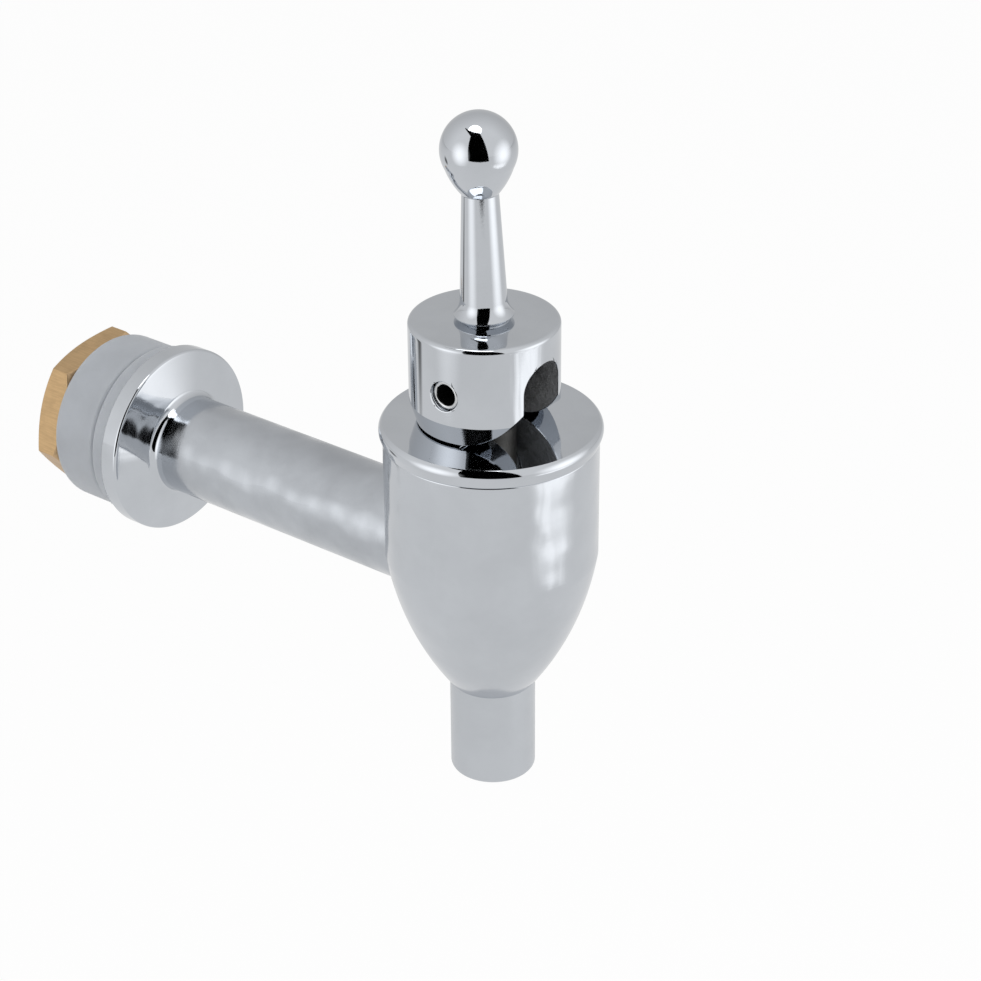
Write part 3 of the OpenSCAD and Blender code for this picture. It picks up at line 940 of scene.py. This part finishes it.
@dataclass
class Arm:
    """Horizontal arm with its flange and threaded tail."""

    barrel: Barrel
    arm_radius: float = 7.85
    bore: float = 4.6
    socket_radius: float = 6.8
    socket_start: float = 10.6
    socket_end: float = 16.5
    flange_radius: float = 15.1
    flange_rim: float = 3.2
    flange_cone: float = 1.2
    flange_round: float = 0.45
    flange_back_round: float = 0.3
    fillet: float = 1.2
    hub: float = 0.8
    spigot_radius: float = 6.0
    spigot_length: float = 5.0
    tail_radius: float = 8.0
    tail_length: float = 20.4
    tail_chamfer: float = 0.8
    pitch: float = 1.5
    thread_depth: float = 0.92
    thread_start: float = 0.9
    thread_steps: int = 96

    @property
    def front(self) -> float:
        """Distance from the sealing face to the front of the hub."""
        return self.flange_rim + self.flange_cone + self.fillet + self.hub

    def in_bore(self) -> Test:
        """Test for the faces in the bore of the arm and the tail, which are painted near-black as shade."""
        return facing_in(Lie.TAIL, self.bore + LAYOUT.seam_gap)

    def arm(self) -> Piece:
        """Arm, with its front end shaped to the body and a spigot at each end.

        Returns:
            The dressed piece.
        """
        place = LAYOUT.tail(-LAYOUT.arm_reach)
        end = LAYOUT.arm_reach - self.front
        outline = [(self.bore, 8.0), (self.arm_radius, 8.0),
                   *[(self.arm_radius, float(step)) for step in range(12, 59, 3)], (self.arm_radius, end),
                   (self.spigot_radius, end), (self.spigot_radius, end + self.spigot_length),
                   (self.bore, end + self.spigot_length)]
        piece = Bench.turn("arm_turned", outline, Lie.TAIL, place)
        body = Bench.turn("body_tool", [*self.barrel.outside(), (0.0, LAYOUT.neck), (0.0, LAYOUT.seam)],
                          Lie.BARREL, LAYOUT.barrel())
        Bench.combine(piece, body)
        outline = [(self.bore, self.socket_start), (self.socket_radius, self.socket_start),
                   (self.socket_radius, self.socket_end), (self.bore, self.socket_end)]
        Bench.weld(piece, Bench.turn("arm_socket", outline, Lie.TAIL, place))
        Bench.smooth(piece)
        Bench.coat(piece, POLISHED_TAIL, PAINTED_SHADE_BORE, self.in_bore())
        return piece

    def flange(self) -> Piece:
        """Flange with its hub, its shallow cone and a short relief behind.

        Returns:
            The dressed piece.
        """
        rim = self.flange_radius
        edge = self.flange_round
        back = self.flange_back_round
        socket = self.spigot_radius + LAYOUT.seam_gap
        socket_end = -self.front + self.spigot_length + LAYOUT.seam_gap
        cone = -self.flange_rim - self.flange_cone
        relief = self.tail_radius - self.thread_depth
        outline = [(socket, -self.front), (self.arm_radius, -self.front),
                   *arc((self.arm_radius + self.fillet, cone - self.fillet), self.fillet, 180, 90, 10),
                   (rim - edge - 0.25, -self.flange_rim - 0.05),
                   *arc((rim - edge, -self.flange_rim + edge), edge, -78, 0, 8), (rim, -self.flange_rim / 2),
                   *arc((rim - back, -back), back, 0, 90, 5), (relief, 0.0), (relief, self.thread_start),
                   (self.bore, self.thread_start), (self.bore, socket_end), (socket, socket_end)]
        piece = Bench.turn("flange_turned", outline, Lie.TAIL, LAYOUT.tail())
        Bench.smooth(piece, 28.0)
        Bench.coat(piece, MIRROR_TAIL, PAINTED_SHADE_BORE, self.in_bore())
        return piece

    def thread(self) -> Piece:
        """Tail with a real helical thread, a chamfered end and its bore.

        Returns:
            The dressed piece.
        """
        crest = self.tail_radius
        low = crest - self.thread_depth
        pitch = self.pitch
        tooth = [(low, 0.0), (low, 0.13 * pitch), (low + 0.05, 0.185 * pitch), (crest - 0.07, 0.47 * pitch),
                 (crest, 0.53 * pitch), (crest, 0.63 * pitch), (crest - 0.07, 0.69 * pitch),
                 (low + 0.05, 0.975 * pitch), (low, pitch)]
        piece = Bench.chain("tail_threaded", tooth)
        Bench.apply(piece, "SCREW", axis="Z", angle=2 * math.pi, screw_offset=pitch * MM,
                    iterations=math.ceil(self.tail_length / pitch) + 2, steps=self.thread_steps,
                    render_steps=self.thread_steps, use_merge_vertices=True, merge_threshold=MERGE)
        with Bench.editing(piece):
            bpy.ops.mesh.remove_doubles(threshold=MERGE)
            bpy.ops.mesh.normals_make_consistent(inside=False)
        start = pitch * 1.2
        length = self.tail_length - self.thread_start
        for height, way in ((start, -1.0), (start + length, 1.0)):
            Bench.slice_flat(piece, Vector((0.0, 0.0, height * MM)), (0.0, 0.0, way))
        Bench.settle(piece, Lie.TAIL.value, LAYOUT.tail(self.thread_start - start))
        end = self.tail_length
        sleeve = [(self.bore, self.thread_start - 1.0), (9.0, self.thread_start - 1.0),
                  (9.0, end - self.tail_chamfer - 1.0), (crest - self.tail_chamfer, end),
                  (self.bore + 0.7, end), (self.bore, end - 0.6)]
        Bench.combine(piece, Bench.turn("tail_envelope", sleeve, Lie.TAIL, LAYOUT.tail()), "INTERSECT")
        Bench.smooth(piece, 38.0)
        Bench.coat(piece, MIRROR_TAIL, PAINTED_SHADE_BORE, self.in_bore())
        return piece

    def build(self) -> None:
        """Build and hand over the arm and the flange with its tail."""
        Bench.hand_over(self.arm(), Body.TAP, Slot.CHROME, "arm_tube")
        flange = self.flange()
        Bench.weld(flange, self.thread())
        Bench.hand_over(flange, Body.TAP, Slot.CHROME, "flange_tail")


@dataclass
class Clamp:
    """Soft washers and the hexagon nut on the tail."""

    bore: float = 8.2
    flange_washer_radius: float = 14.2
    flange_washer_thickness: float = 3.2
    nut_washer_radius: float = 13.75
    nut_washer_thickness: float = 8.6
    gap: float = 0.1
    edge: float = 0.9
    nut_flats: float = 24.0
    nut_thickness: float = 5.2
    nut_turn: float = 10.0
    nut_bore: float = 8.05
    nut_chamfer: float = 0.6
    nut_countersink: float = 0.75

    def washer(self, name: str, radius: float, thickness: float, place: float) -> Piece:
        """Soft washer with rounded edges.

        Args:
            name: Name of the piece.
            radius: Outside radius in millimetres.
            thickness: Thickness in millimetres.
            place: Distance of its front face behind the sealing face, in millimetres.

        Returns:
            The dressed piece.
        """
        edge = self.edge
        outline = [(self.bore, 0.0), (radius - edge, 0.0), *arc((radius - edge, edge), edge, -80, 0, 7),
                   (radius, thickness / 2), *arc((radius - edge, thickness - edge), edge, 0, 80, 7),
                   (radius - edge, thickness), (self.bore, thickness)]
        piece = Bench.turn(name, outline, Lie.TAIL, LAYOUT.tail(place), 144)
        Bench.smooth(piece)
        Bench.coat(piece, SILICONE)
        return piece

    def nut(self, place: float) -> Piece:
        """Hexagon nut, chamfered on both faces and in its bore.

        Args:
            place: Distance of its front face behind the sealing face, in millimetres.

        Returns:
            The dressed piece.
        """
        corner = self.nut_flats / math.sqrt(3) + 0.3
        flat = self.nut_flats / 2
        slope = math.tan(math.radians(30))
        height = self.nut_thickness
        mouth = self.nut_bore + self.nut_countersink
        Bench.pick()
        bpy.ops.mesh.primitive_cylinder_add(vertices=6, radius=self.nut_flats / math.sqrt(3) * MM,
                                            depth=height * MM, location=NOWHERE)
        piece = Bench.named("nut_machined")
        with Bench.editing(piece):
            bpy.ops.mesh.subdivide(number_cuts=2)
        turned = math.radians(-self.nut_turn - 30.0)
        Bench.settle(piece, (0.0, 0.0, turned), Vector((0.0, 0.0, height / 2 * MM)))
        outline = [(mouth, 0.0), (flat + 0.6, 0.0), (corner, (corner - flat - 0.6) * slope),
                   (corner, height - (corner - flat + 0.35) * slope), (flat - 0.35, height), (mouth, height),
                   (self.nut_bore, height - self.nut_chamfer), (self.nut_bore, self.nut_chamfer)]
        Bench.combine(piece, Bench.turn("nut_envelope", outline, Lie.BARREL, NOWHERE), "INTERSECT")
        Bench.settle(piece, Lie.TAIL.value, LAYOUT.tail(place))
        Bench.soften(piece, 0.07, 24.0)
        Bench.smooth(piece, 30.0)
        Bench.coat(piece, BRASS, BRASS_FACE, lambda centre, normal: abs(normal.y) > 0.35)
        return piece

    def build(self) -> None:
        """Build and hand over the washers and the nut."""
        first = self.washer("washer_front", self.flange_washer_radius, self.flange_washer_thickness, 0.0)
        Bench.hand_over(first, Body.TAP, Slot.SILICONE, "flange_washer")
        place = self.flange_washer_thickness + self.gap
        second = self.washer("washer_rear", self.nut_washer_radius, self.nut_washer_thickness, place)
        Bench.hand_over(second, Body.CLAMP, Slot.SILICONE, "nut_washer")
        nut = self.nut(place + self.nut_washer_thickness + self.gap)
        Bench.hand_over(nut, Body.NUT, Slot.BRASS, "hex_nut")


@dataclass
class Lever:
    """Cam head with its pin and the ball-ended lever."""

    head_radius: float = 11.0
    bevel_height: float = 3.4
    bevel_width: float = 1.05
    head_edge: float = 0.16
    top_round: float = 0.7
    rings: tuple[float, ...] = (6.0, 9.6, 10.4, 11.2, 12.0)
    slot_width: float = 8.0
    wall_lean: float = 0.3
    root_near: float = 0.02
    cam_reach: float = 7.8
    cam_rate: float = 1.5
    cam_end: float = 84.0
    cam_steps: int = 84
    cam_clear: float = 5.0
    cam_front: float = 25.0
    pin_radius: float = 2.2
    pin_bore: float = 1.55
    pin_gap: float = 0.05
    pin_hole: float = 14.0
    ball_radius: float = 5.5
    ball_height: float = 25.4
    cone_angle: float = 27.0
    cone_bulge: float = 20.0
    cone_end: tuple[float, float] = (2.83, -6.2)
    cone_steps: int = 12
    cone_push: tuple[float, float] = (0.87, -0.49)
    neck_top: float = 2.65
    neck_low: float = 3.4
    foot_radius: float = 4.35
    foot_height: float = 3.2
    foot_edge: float = 0.8
    foot_contact: float = 3.65
    foot_tip: float = 0.1
    foot_sunk: float = 1.5
    lean: float = 1.7
    stud_radius: float = 2.5
    stud_length: float = 3.2

    def cam_tool(self) -> Piece:
        """Solid of all that lies in front of and below the cam's nose.

        Returns:
            The tool.
        """
        points = []
        for step in range(self.cam_steps + 1):
            angle = math.radians(self.cam_end * step / self.cam_steps)
            support = self.cam_reach + self.cam_rate * angle
            forward = support * math.sin(angle) + self.cam_rate * math.cos(angle)
            points.append((forward, self.cam_rate * math.sin(angle) - support * math.cos(angle)))
        low = -self.cam_reach - self.cam_clear
        points += [(self.cam_front, points[-1][1]), (self.cam_front, low), (self.cam_rate, low)]
        pin = LAYOUT.barrel(LAYOUT.pin_height)
        half = (self.head_radius + 2.0) * MM
        corners = [Vector((-half, pin.y - forward * MM, pin.z + rise * MM)) for forward, rise in points]
        return Bench.prism("cam_tool", corners, (2 * half, 0.0, 0.0))

    def slot_tool(self) -> Piece:
        """Solid of the slot, a flat channel with a round root behind the pin.

        Returns:
            The tool.
        """
        half = self.slot_width / 2
        root = LAYOUT.pin_height
        outline = [(-half, -1.0), (-half, root), *arc((0.0, root), half, 180, 0, 32), (half, root),
                   (half, -1.0)]
        origin = LAYOUT.barrel()
        back = origin.y + half * MM
        corners = [Vector((across * MM, back, origin.z + rise * MM)) for across, rise in outline]
        return Bench.prism("slot_tool", corners, (0.0, -2 * self.head_radius * MM, 0.0))

    def head(self) -> Piece:
        """Round head with the slot, the cam's nose and the bore of the pin.

        Returns:
            The dressed piece.
        """
        radius = self.head_radius
        low = radius - self.bevel_width
        top = LAYOUT.head_top - LAYOUT.head_low
        edge = self.top_round
        rings = [(radius, height) for height in (self.bevel_height, *self.rings)]
        outline = [(0.0, 0.0), (low - 0.1, 0.0), (low + 0.04, 0.12), *rings, (radius, top - edge - 0.3),
                   *arc((radius - edge, top - edge), edge, 0, 90, 12), (radius - 1.4, top), (0.0, top)]
        piece = Bench.turn("head_cast", outline, Lie.BARREL, LAYOUT.head(LAYOUT.head_low))
        Bench.combine(piece, self.cam_tool())
        Bench.combine(piece, self.slot_tool())
        axis = LAYOUT.barrel(LAYOUT.pin_height)
        hole = self.pin_radius + self.pin_gap
        outline = [(0.0, -self.pin_hole), (hole, -self.pin_hole), (hole, self.pin_hole), (0.0, self.pin_hole)]
        Bench.combine(piece, Bench.turn("pin_hole_tool", outline, Lie.PIN, axis, 96))
        Bench.soften(piece, self.head_edge, 50.0)
        Bench.smooth(piece, 12.0, even=False)
        half = (self.slot_width / 2 + 0.01) * MM

        def in_slot(centre: Vector, normal: Vector) -> bool:
            """Whether a face between the slot's sides is a wall, the root or the pin's bore.

            Args:
                centre: Centre of the face.
                normal: Direction that it faces.

            Returns:
                Whether the face is rough casting.
            """
            if abs(centre.x) >= half:
                return False
            inward = centre.x * normal.x + (centre.z - axis.z) * normal.z < -FACING
            ahead = centre.z < axis.z + half and centre.y < axis.y + half
            wall = inward and ahead and abs(normal.y) < self.wall_lean
            root = normal.y < -0.9 and abs(centre.y - axis.y - half) < self.root_near * MM
            bore = Vector((centre.y - axis.y, centre.z - axis.z)).length < (hole + 0.01) * MM
            return wall or root or bore

        Bench.coat(piece, MIRROR, RAW_CAST, in_slot)
        return piece

    def pin(self) -> Piece:
        """Hollow pin with rounded ends.

        Returns:
            The dressed piece.
        """
        half = math.sqrt(self.head_radius ** 2 - (LAYOUT.head_back + self.pin_radius) ** 2) - 0.1
        ring = (self.pin_radius - self.pin_bore) / 2
        middle = self.pin_bore + ring
        outline = [*arc((middle, ring - half), ring, 180.0, 360.0, 12),
                   *arc((middle, half - ring), ring, 0.0, 180.0, 12)]
        axis = LAYOUT.barrel(LAYOUT.pin_height)
        piece = Bench.turn("pin_turned", outline, Lie.PIN, axis, 96)
        Bench.smooth(piece, 25.0)

        def within(centre: Vector, normal: Vector) -> bool:
            """Whether a face is in the pin's bore, which is painted near-black as shade."""
            return Vector((centre.y - axis.y, centre.z - axis.z)).length < (self.pin_bore + 0.09) * MM

        Bench.coat(piece, PIN_RING, PAINTED_SHADE_BORE, within)
        return piece

    def foot(self) -> Outline:
        """Draw the flared foot from its sunk underside to the neck.

        Returns:
            Points of the outline.
        """
        out = self.foot_radius - self.neck_low
        rise = self.foot_height - self.foot_edge
        curve = (rise ** 2 + out ** 2) / (2 * out)
        end = 180.0 + math.degrees(math.asin(rise / curve))
        tip = self.foot_tip
        return [(0.0, -self.foot_sunk), (self.foot_contact, -self.foot_sunk), (self.foot_contact, 0.0),
                *arc((self.foot_radius - tip, self.foot_edge - tip), tip, -40.0, 0.0, 4),
                *arc((self.neck_low + curve, self.foot_height), curve, end, 180.0, 16)]

    def neck(self) -> Outline:
        """Draw the tapered neck above the foot.

        Returns:
            Points of the outline.
        """
        slimmer = self.neck_low - self.neck_top
        height = self.ball_height + self.cone_end[1] - 0.2 - self.foot_height
        return [(self.neck_low - slimmer * share, self.foot_height + height * share)
                for share in (0.25, 0.5, 0.75, 1.0)]

    def cone_and_ball(self) -> Outline:
        """Draw the bulged cone from the neck to the ball, and the ball up to its top.

        Returns:
            Points of the outline.
        """
        ball = arc((0.0, self.ball_height), self.ball_radius, -self.cone_angle, 90.0, 56)
        drop = self.ball_height + self.cone_end[1] - ball[0][1]
        inward = self.cone_end[0] - ball[0][0]
        most = math.hypot(drop, inward) / 8 * math.radians(self.cone_bulge)
        cone = [(self.cone_end[0], self.ball_height + self.cone_end[1])]
        for step in range(self.cone_steps - 1, 0, -1):
            share = step / self.cone_steps
            bulge = 4 * share * (1 - share) * most
            cone.append((ball[0][0] + inward * share + bulge * self.cone_push[0],
                         ball[0][1] + drop * share + bulge * self.cone_push[1]))
        return [*cone, *ball[:-1], (0.0, self.ball_height + self.ball_radius)]

    def handle(self) -> Piece:
        """Lever with its flared foot, tapered neck and ball.

        Returns:
            The dressed piece.
        """
        outline = [*self.foot(), *self.neck(), *self.cone_and_ball()]
        piece = Bench.turn("lever_turned", outline, Lie.BARREL, NOWHERE, 160)
        Bench.settle(piece, (math.radians(-self.lean), 0.0, 0.0), LAYOUT.head(LAYOUT.head_top))
        Bench.slice_flat(piece, LAYOUT.barrel(LAYOUT.head_top), (0.0, 0.0, -1.0))
        outline = [(0.0, 0.0), (self.stud_radius, 0.0), (self.stud_radius, self.stud_length),
                   (0.0, self.stud_length)]
        place = LAYOUT.head(LAYOUT.head_top - self.stud_length)
        Bench.weld(piece, Bench.turn("lever_stud", outline, Lie.BARREL, place, 64))
        Bench.smooth(piece, 24.0)
        Bench.coat(piece, MIRROR)
        return piece

    def build(self) -> None:
        """Build and hand over the head, the pin and the lever."""
        Bench.hand_over(self.head(), Body.LEVER, Slot.CHROME, "cam_head")
        Bench.hand_over(self.pin(), Body.LEVER, Slot.STEEL, "pivot_pin")
        Bench.hand_over(self.handle(), Body.LEVER, Slot.CHROME, "lever_handle")


@dataclass
class Valve:
    """Inner pieces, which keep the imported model's shape and take their finishes here."""

    finishes: tuple[tuple[str, Finish], ...] = (
        ("arm_seal", SEAL), ("valve_seat", BRASS_TURNED), ("bonnet_seal", SEAL),
        ("valve_stem", STEM_DULL), ("stem_seal_upper", SEAL), ("stem_seal_lower", SEAL),
        ("plug_cup", BRASS_TURNED), ("plug_seal", PLUG), ("plug_screw", STEEL))

    def spring(self) -> None:
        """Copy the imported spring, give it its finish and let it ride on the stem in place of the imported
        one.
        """
        Bench.pick(frame["nodes"]["return_spring"])
        bpy.ops.object.duplicate()
        spring = Bench.named("spring_wound")
        del spring["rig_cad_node"]
        Bench.smooth(spring, 40.0)
        Bench.coat(spring, SPRING)
        Bench.hand_over(spring, Body.STEM, Slot.SPRING, "return_spring")
        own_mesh(spring)

    def build(self) -> None:
        """Build the spring and dress each other inner piece."""
        self.spring()
        for name, finish in self.finishes:
            node = frame["nodes"][name]
            node.data.materials.clear()
            node.data.materials.append(finish.material())
            LOG.info("%s wears %s", name, finish.name)


@dataclass
class Studio:
    """Pale floor, soft lamps, cards that only reflections show, and the camera, in metres."""

    azimuth: float = -51.87
    elevation: float = 28.82
    roll: float = -0.38
    distance: float = 0.39155
    shift_right: float = -0.00007
    shift_up: float = -0.01027
    focal_pixels: float = 2700.0
    picture_pixels: float = 981.0
    sensor: float = 36.0
    floor_height: float = -0.17
    floor_size: float = 12.0
    room_tone: float = 0.9
    floor_tone: float = 0.82
    back_tone: float = 0.62
    fill_light: float = 0.55
    ball_height: float = 41.4
    card_distance: float = 0.45
    card_corners: tuple[tuple[float, float], ...] = (
        (-0.334, -0.436), (0.344, -0.45), (0.03, 0.37), (-0.149, 0.435), (-0.389, 0.651),
        (-0.7, 1.1), (-0.717, 1.04), (-0.2125, 0.286))

    def axes(self) -> tuple[Vector, Vector, Vector]:
        """Work out how the camera looks.

        Returns:
            Right, up and forward directions of the camera.
        """
        side = math.radians(self.azimuth)
        rise = math.radians(self.elevation)
        back = Vector((math.sin(side) * math.cos(rise), -math.cos(side) * math.cos(rise), math.sin(rise)))
        right = (-back).cross(Vector((0.0, 0.0, 1.0))).normalized()
        up = right.cross(-back)
        turn = math.radians(self.roll)
        return (right * math.cos(turn) + up * math.sin(turn),
                up * math.cos(turn) - right * math.sin(turn), -back)

    @staticmethod
    def level(way: Vector) -> Vector:
        """Level direction that a direction points along."""
        return Vector((way.x, way.y, 0.0)).normalized()

    def camera(self) -> None:
        """Place the camera at the photograph's viewpoint."""
        right, up, forward = self.axes()
        data = bpy.data.cameras.new("camera")
        data.sensor_width = self.sensor
        data.lens = self.sensor * self.focal_pixels / self.picture_pixels
        data.clip_start = 0.01
        data.clip_end = 20.0
        camera = bpy.data.objects.new("camera", data)
        bpy.context.scene.collection.objects.link(camera)
        place = LAYOUT.barrel() + right * self.shift_right + up * self.shift_up - forward * self.distance
        camera.matrix_world = Matrix.Translation(place) @ Matrix((right, up, -forward)).transposed().to_4x4()
        bpy.context.scene.camera = camera

    def ahead(self, graph: Graph, coordinates: str) -> Socket:
        """Find how far a place or direction lies away from the camera.

        Args:
            graph: Graph of the world or the floor.
            coordinates: Kind of coordinates that the place or direction comes from.

        Returns:
            The distance along the camera's level direction.
        """
        spot = graph.add("TexCoord").outputs[coordinates]
        way = graph.add("VectorMath", operation="DOT_PRODUCT", I0=spot, I1=self.level(self.axes()[2]))
        return way.outputs["Value"]

    def world(self) -> None:
        """White for the camera and pale for reflections, with an even soft light for the rest."""
        world = bpy.data.worlds.new("studio")
        world.use_nodes = True
        bpy.context.scene.world = world
        graph = Graph(world.node_tree)
        path = graph.add("LightPath").outputs
        seen = graph.math("MAXIMUM", path["Is Camera Ray"], path["Is Transmission Ray"])
        backdrop = graph.ramp(self.ahead(graph, "Generated"), -0.1, 0.85, self.room_tone, self.back_tone)
        shown = graph.math("MAXIMUM", seen, graph.math("MULTIPLY", path["Is Glossy Ray"], backdrop))
        other = graph.math("SUBTRACT", 1.0, graph.math("MAXIMUM", seen, path["Is Glossy Ray"]))
        strength = graph.math("ADD", shown, graph.math("MULTIPLY", other, self.fill_light))
        graph.add("OutputWorld", Surface=graph.add("Background", Color=WHITE, Strength=strength).outputs[0])

    def floor(self) -> None:
        """Pale floor that reads white and keeps a faint shadow."""
        Bench.pick()
        bpy.ops.mesh.primitive_plane_add(size=self.floor_size, location=(0.0, 0.0, self.floor_height))
        floor = Bench.named("studio_floor")
        material, graph = Graph.of_material("pale_floor")
        path = graph.add("LightPath").outputs
        direct = graph.math("MAXIMUM", path["Is Camera Ray"], path["Is Transmission Ray"])
        seen = graph.math("MAXIMUM", direct, path["Is Glossy Ray"])
        dim = graph.ramp(self.ahead(graph, "Object"), 0.1, 1.5, self.floor_tone, self.back_tone)
        paper = graph.add("BsdfDiffuse", Color=(0.9, 0.9, 0.9, 1.0))
        white = graph.add("Emission", Color=WHITE, Strength=graph.math("MAXIMUM", direct, dim))
        mixed = graph.add("MixShader", I0=graph.math("MULTIPLY", seen, 0.95), I1=paper.outputs[0],
                          I2=white.outputs[0])
        graph.add("OutputMaterial", Surface=mixed.outputs[0])
        floor.data.materials.append(material)

    def lamp(self, name: str, place: Vector, target: Vector, size: tuple[float, float],
             level: float, mirrored: bool = False) -> None:
        """Add a soft oval lamp of a given brightness.

        Args:
            name: Name of the lamp.
            place: Where it stands, in metres.
            target: Where it points.
            size: Width and height of its face in metres.
            level: Brightness of its face, where 1 is white.
            mirrored: Whether reflections show the lamp itself.
        """
        data = bpy.data.lights.new(name, "AREA")
        data.shape = "ELLIPSE"
        data.size, data.size_y = size
        data.energy = level * math.pi * size[0] * size[1] * math.pi / 4
        lamp = bpy.data.objects.new(name, data)
        bpy.context.scene.collection.objects.link(lamp)
        lamp.location = place
        lamp.rotation_mode = "QUATERNION"
        lamp.rotation_quaternion = (target - lamp.location).to_track_quat("-Z", "Y")
        lamp.visible_camera = False
        lamp.visible_glossy = mirrored

    def fading(self, graph: Graph, surface: Socket, soft: float, uneven: float) -> Socket:
        """Let a card fade out towards its edge.

        Args:
            graph: Graph of the card's material.
            surface: Shader of the card.
            soft: Share of its half width over which it fades out.
            uneven: Depth of the cloudy patches in it, from 0 to 1.

        Returns:
            The fading shader.
        """
        place = graph.add("Mapping", Vector=graph.add("TexCoord").outputs["UV"],
                          Location=(-0.5, -0.5, 0.0)).outputs[0]
        reach = graph.add("VectorMath", operation="LENGTH", I0=place).outputs["Value"]
        patches = graph.math("SUBTRACT", graph.noise(place, 9.0, 2.0, 0.5), 0.5)
        ragged = graph.math("ADD", reach, graph.math("MULTIPLY", patches, uneven))
        shown = graph.add("MapRange", interpolation_type="SMOOTHSTEP", Value=ragged,
                          From_Min=0.35 * (1.0 - soft), From_Max=0.35, To_Min=1.0, To_Max=0.0)
        clear = graph.add("BsdfTransparent")
        mixed = graph.add("MixShader", I0=shown.outputs[0], I1=clear.outputs[0], I2=surface)
        return mixed.outputs[0]

    def card(self, name: str, corners: list[Vector], level: float, soft: float = 0.0,
             uneven: float = 0.0) -> None:
        """Hang a dark or lit card that only reflections show.

        Args:
            name: Name of the card.
            corners: Its corners in order, in metres.
            level: Brightness of the card, where 1 is white.
            soft: Share of its half width over which it fades out, or 0 for a sharp edge.
            uneven: Depth of the cloudy patches in it, from 0 to 1.
        """
        card = Bench.plate(name, corners)
        material, graph = Graph.of_material(name)
        surface = graph.add("Emission", Color=WHITE, Strength=level).outputs[0]
        if soft > 0.0:
            surface = self.fading(graph, surface, soft, uneven)
        graph.add("OutputMaterial", Surface=surface)
        card.data.materials.append(material)
        for kind in ("camera", "diffuse", "shadow", "transmission"):
            setattr(card, "visible_" + kind, False)

    def upright(self, bearing: float, distance: float, height: float,
                size: tuple[float, float] = (0.0, 0.0)) -> list[Vector]:
        """Find the corners of a standing card that faces the barrel.

        Args:
            bearing: Direction from the barrel in degrees, to the right of the camera.
            distance: Distance from the barrel in metres.
            height: Height of its middle above the sealing face's centre, in metres.
            size: Its width and height in metres, or nothing for its middle alone.

        Returns:
            Its four corners in order.
        """
        right, _, forward = self.axes()
        across = self.level(right)
        toward = -self.level(forward)
        turn = math.radians(bearing)
        out = across * math.sin(turn) + toward * math.cos(turn)
        wide = (across * math.cos(turn) - toward * math.sin(turn)) * size[0] / 2
        high = Vector((0.0, 0.0, size[1] / 2))
        middle = Vector((0.0, -LAYOUT.arm_reach * MM, 0.0)) + out * distance
        middle.z = height
        return [middle - wide - high, middle + wide - high, middle + wide + high, middle - wide + high]

    def light(self) -> None:
        """Hang the lamps and the cards round the camera's line of sight."""
        right, up, forward = self.axes()
        ball = LAYOUT.barrel(self.ball_height)

        def before(across: float, rise: float, back: float = self.card_distance) -> Vector:
            """Point in front of the ball, on the camera's side."""
            return ball + right * across + up * rise - forward * back

        self.card("card_camera", [before(across, rise) for across, rise in self.card_corners], 0.0)
        self.lamp("lamp_top", before(-0.145, 0.734, 0.601), ball, (0.6, 0.52), 2.2, True)
        waist = LAYOUT.barrel(-10.0)
        self.lamp("lamp_right", self.upright(75.0, 0.4, 0.12)[0], waist, (0.3, 0.5), 1.6)
        self.lamp("lamp_left", self.upright(-60.0, 0.42, 0.16)[0], waist, (0.3, 0.4), 1.2)
        self.card("glow_right", self.upright(74.0, 0.3, 0.03, (0.46, 0.46)), 1.7, 0.95, 0.03)
        self.card("glow_left", self.upright(-56.0, 0.4, 0.05, (0.52, 0.6)), 1.6, 0.95, 0.02)
        self.card("glow_low", self.upright(66.0, 0.27, -0.11, (0.3, 0.12)), 1.5, 0.8, 0.5)
        self.card("shade_left", self.upright(-112.0, 0.34, -0.1, (0.1, 0.13)), 0.15, 0.7)

    def build(self) -> None:
        """Set up the camera, the world, the floor and the lights."""
        self.camera()
        self.world()
        self.floor()
        self.light()
        bpy.context.scene.view_settings.view_transform = "Standard"
        LOG.info("studio stands %.0f mm below the sealing face's centre", -self.floor_height / MM)


def main() -> None:
    """Build every sub-assembly in order."""
    logging.basicConfig(level=logging.INFO, format="%(name)s: %(message)s")
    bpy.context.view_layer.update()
    barrel = Barrel()
    for assembly in (Studio(), barrel, Arm(barrel), Clamp(), Lever(), Valve()):
        assembly.build()


if __name__ == "__main__":
    main()
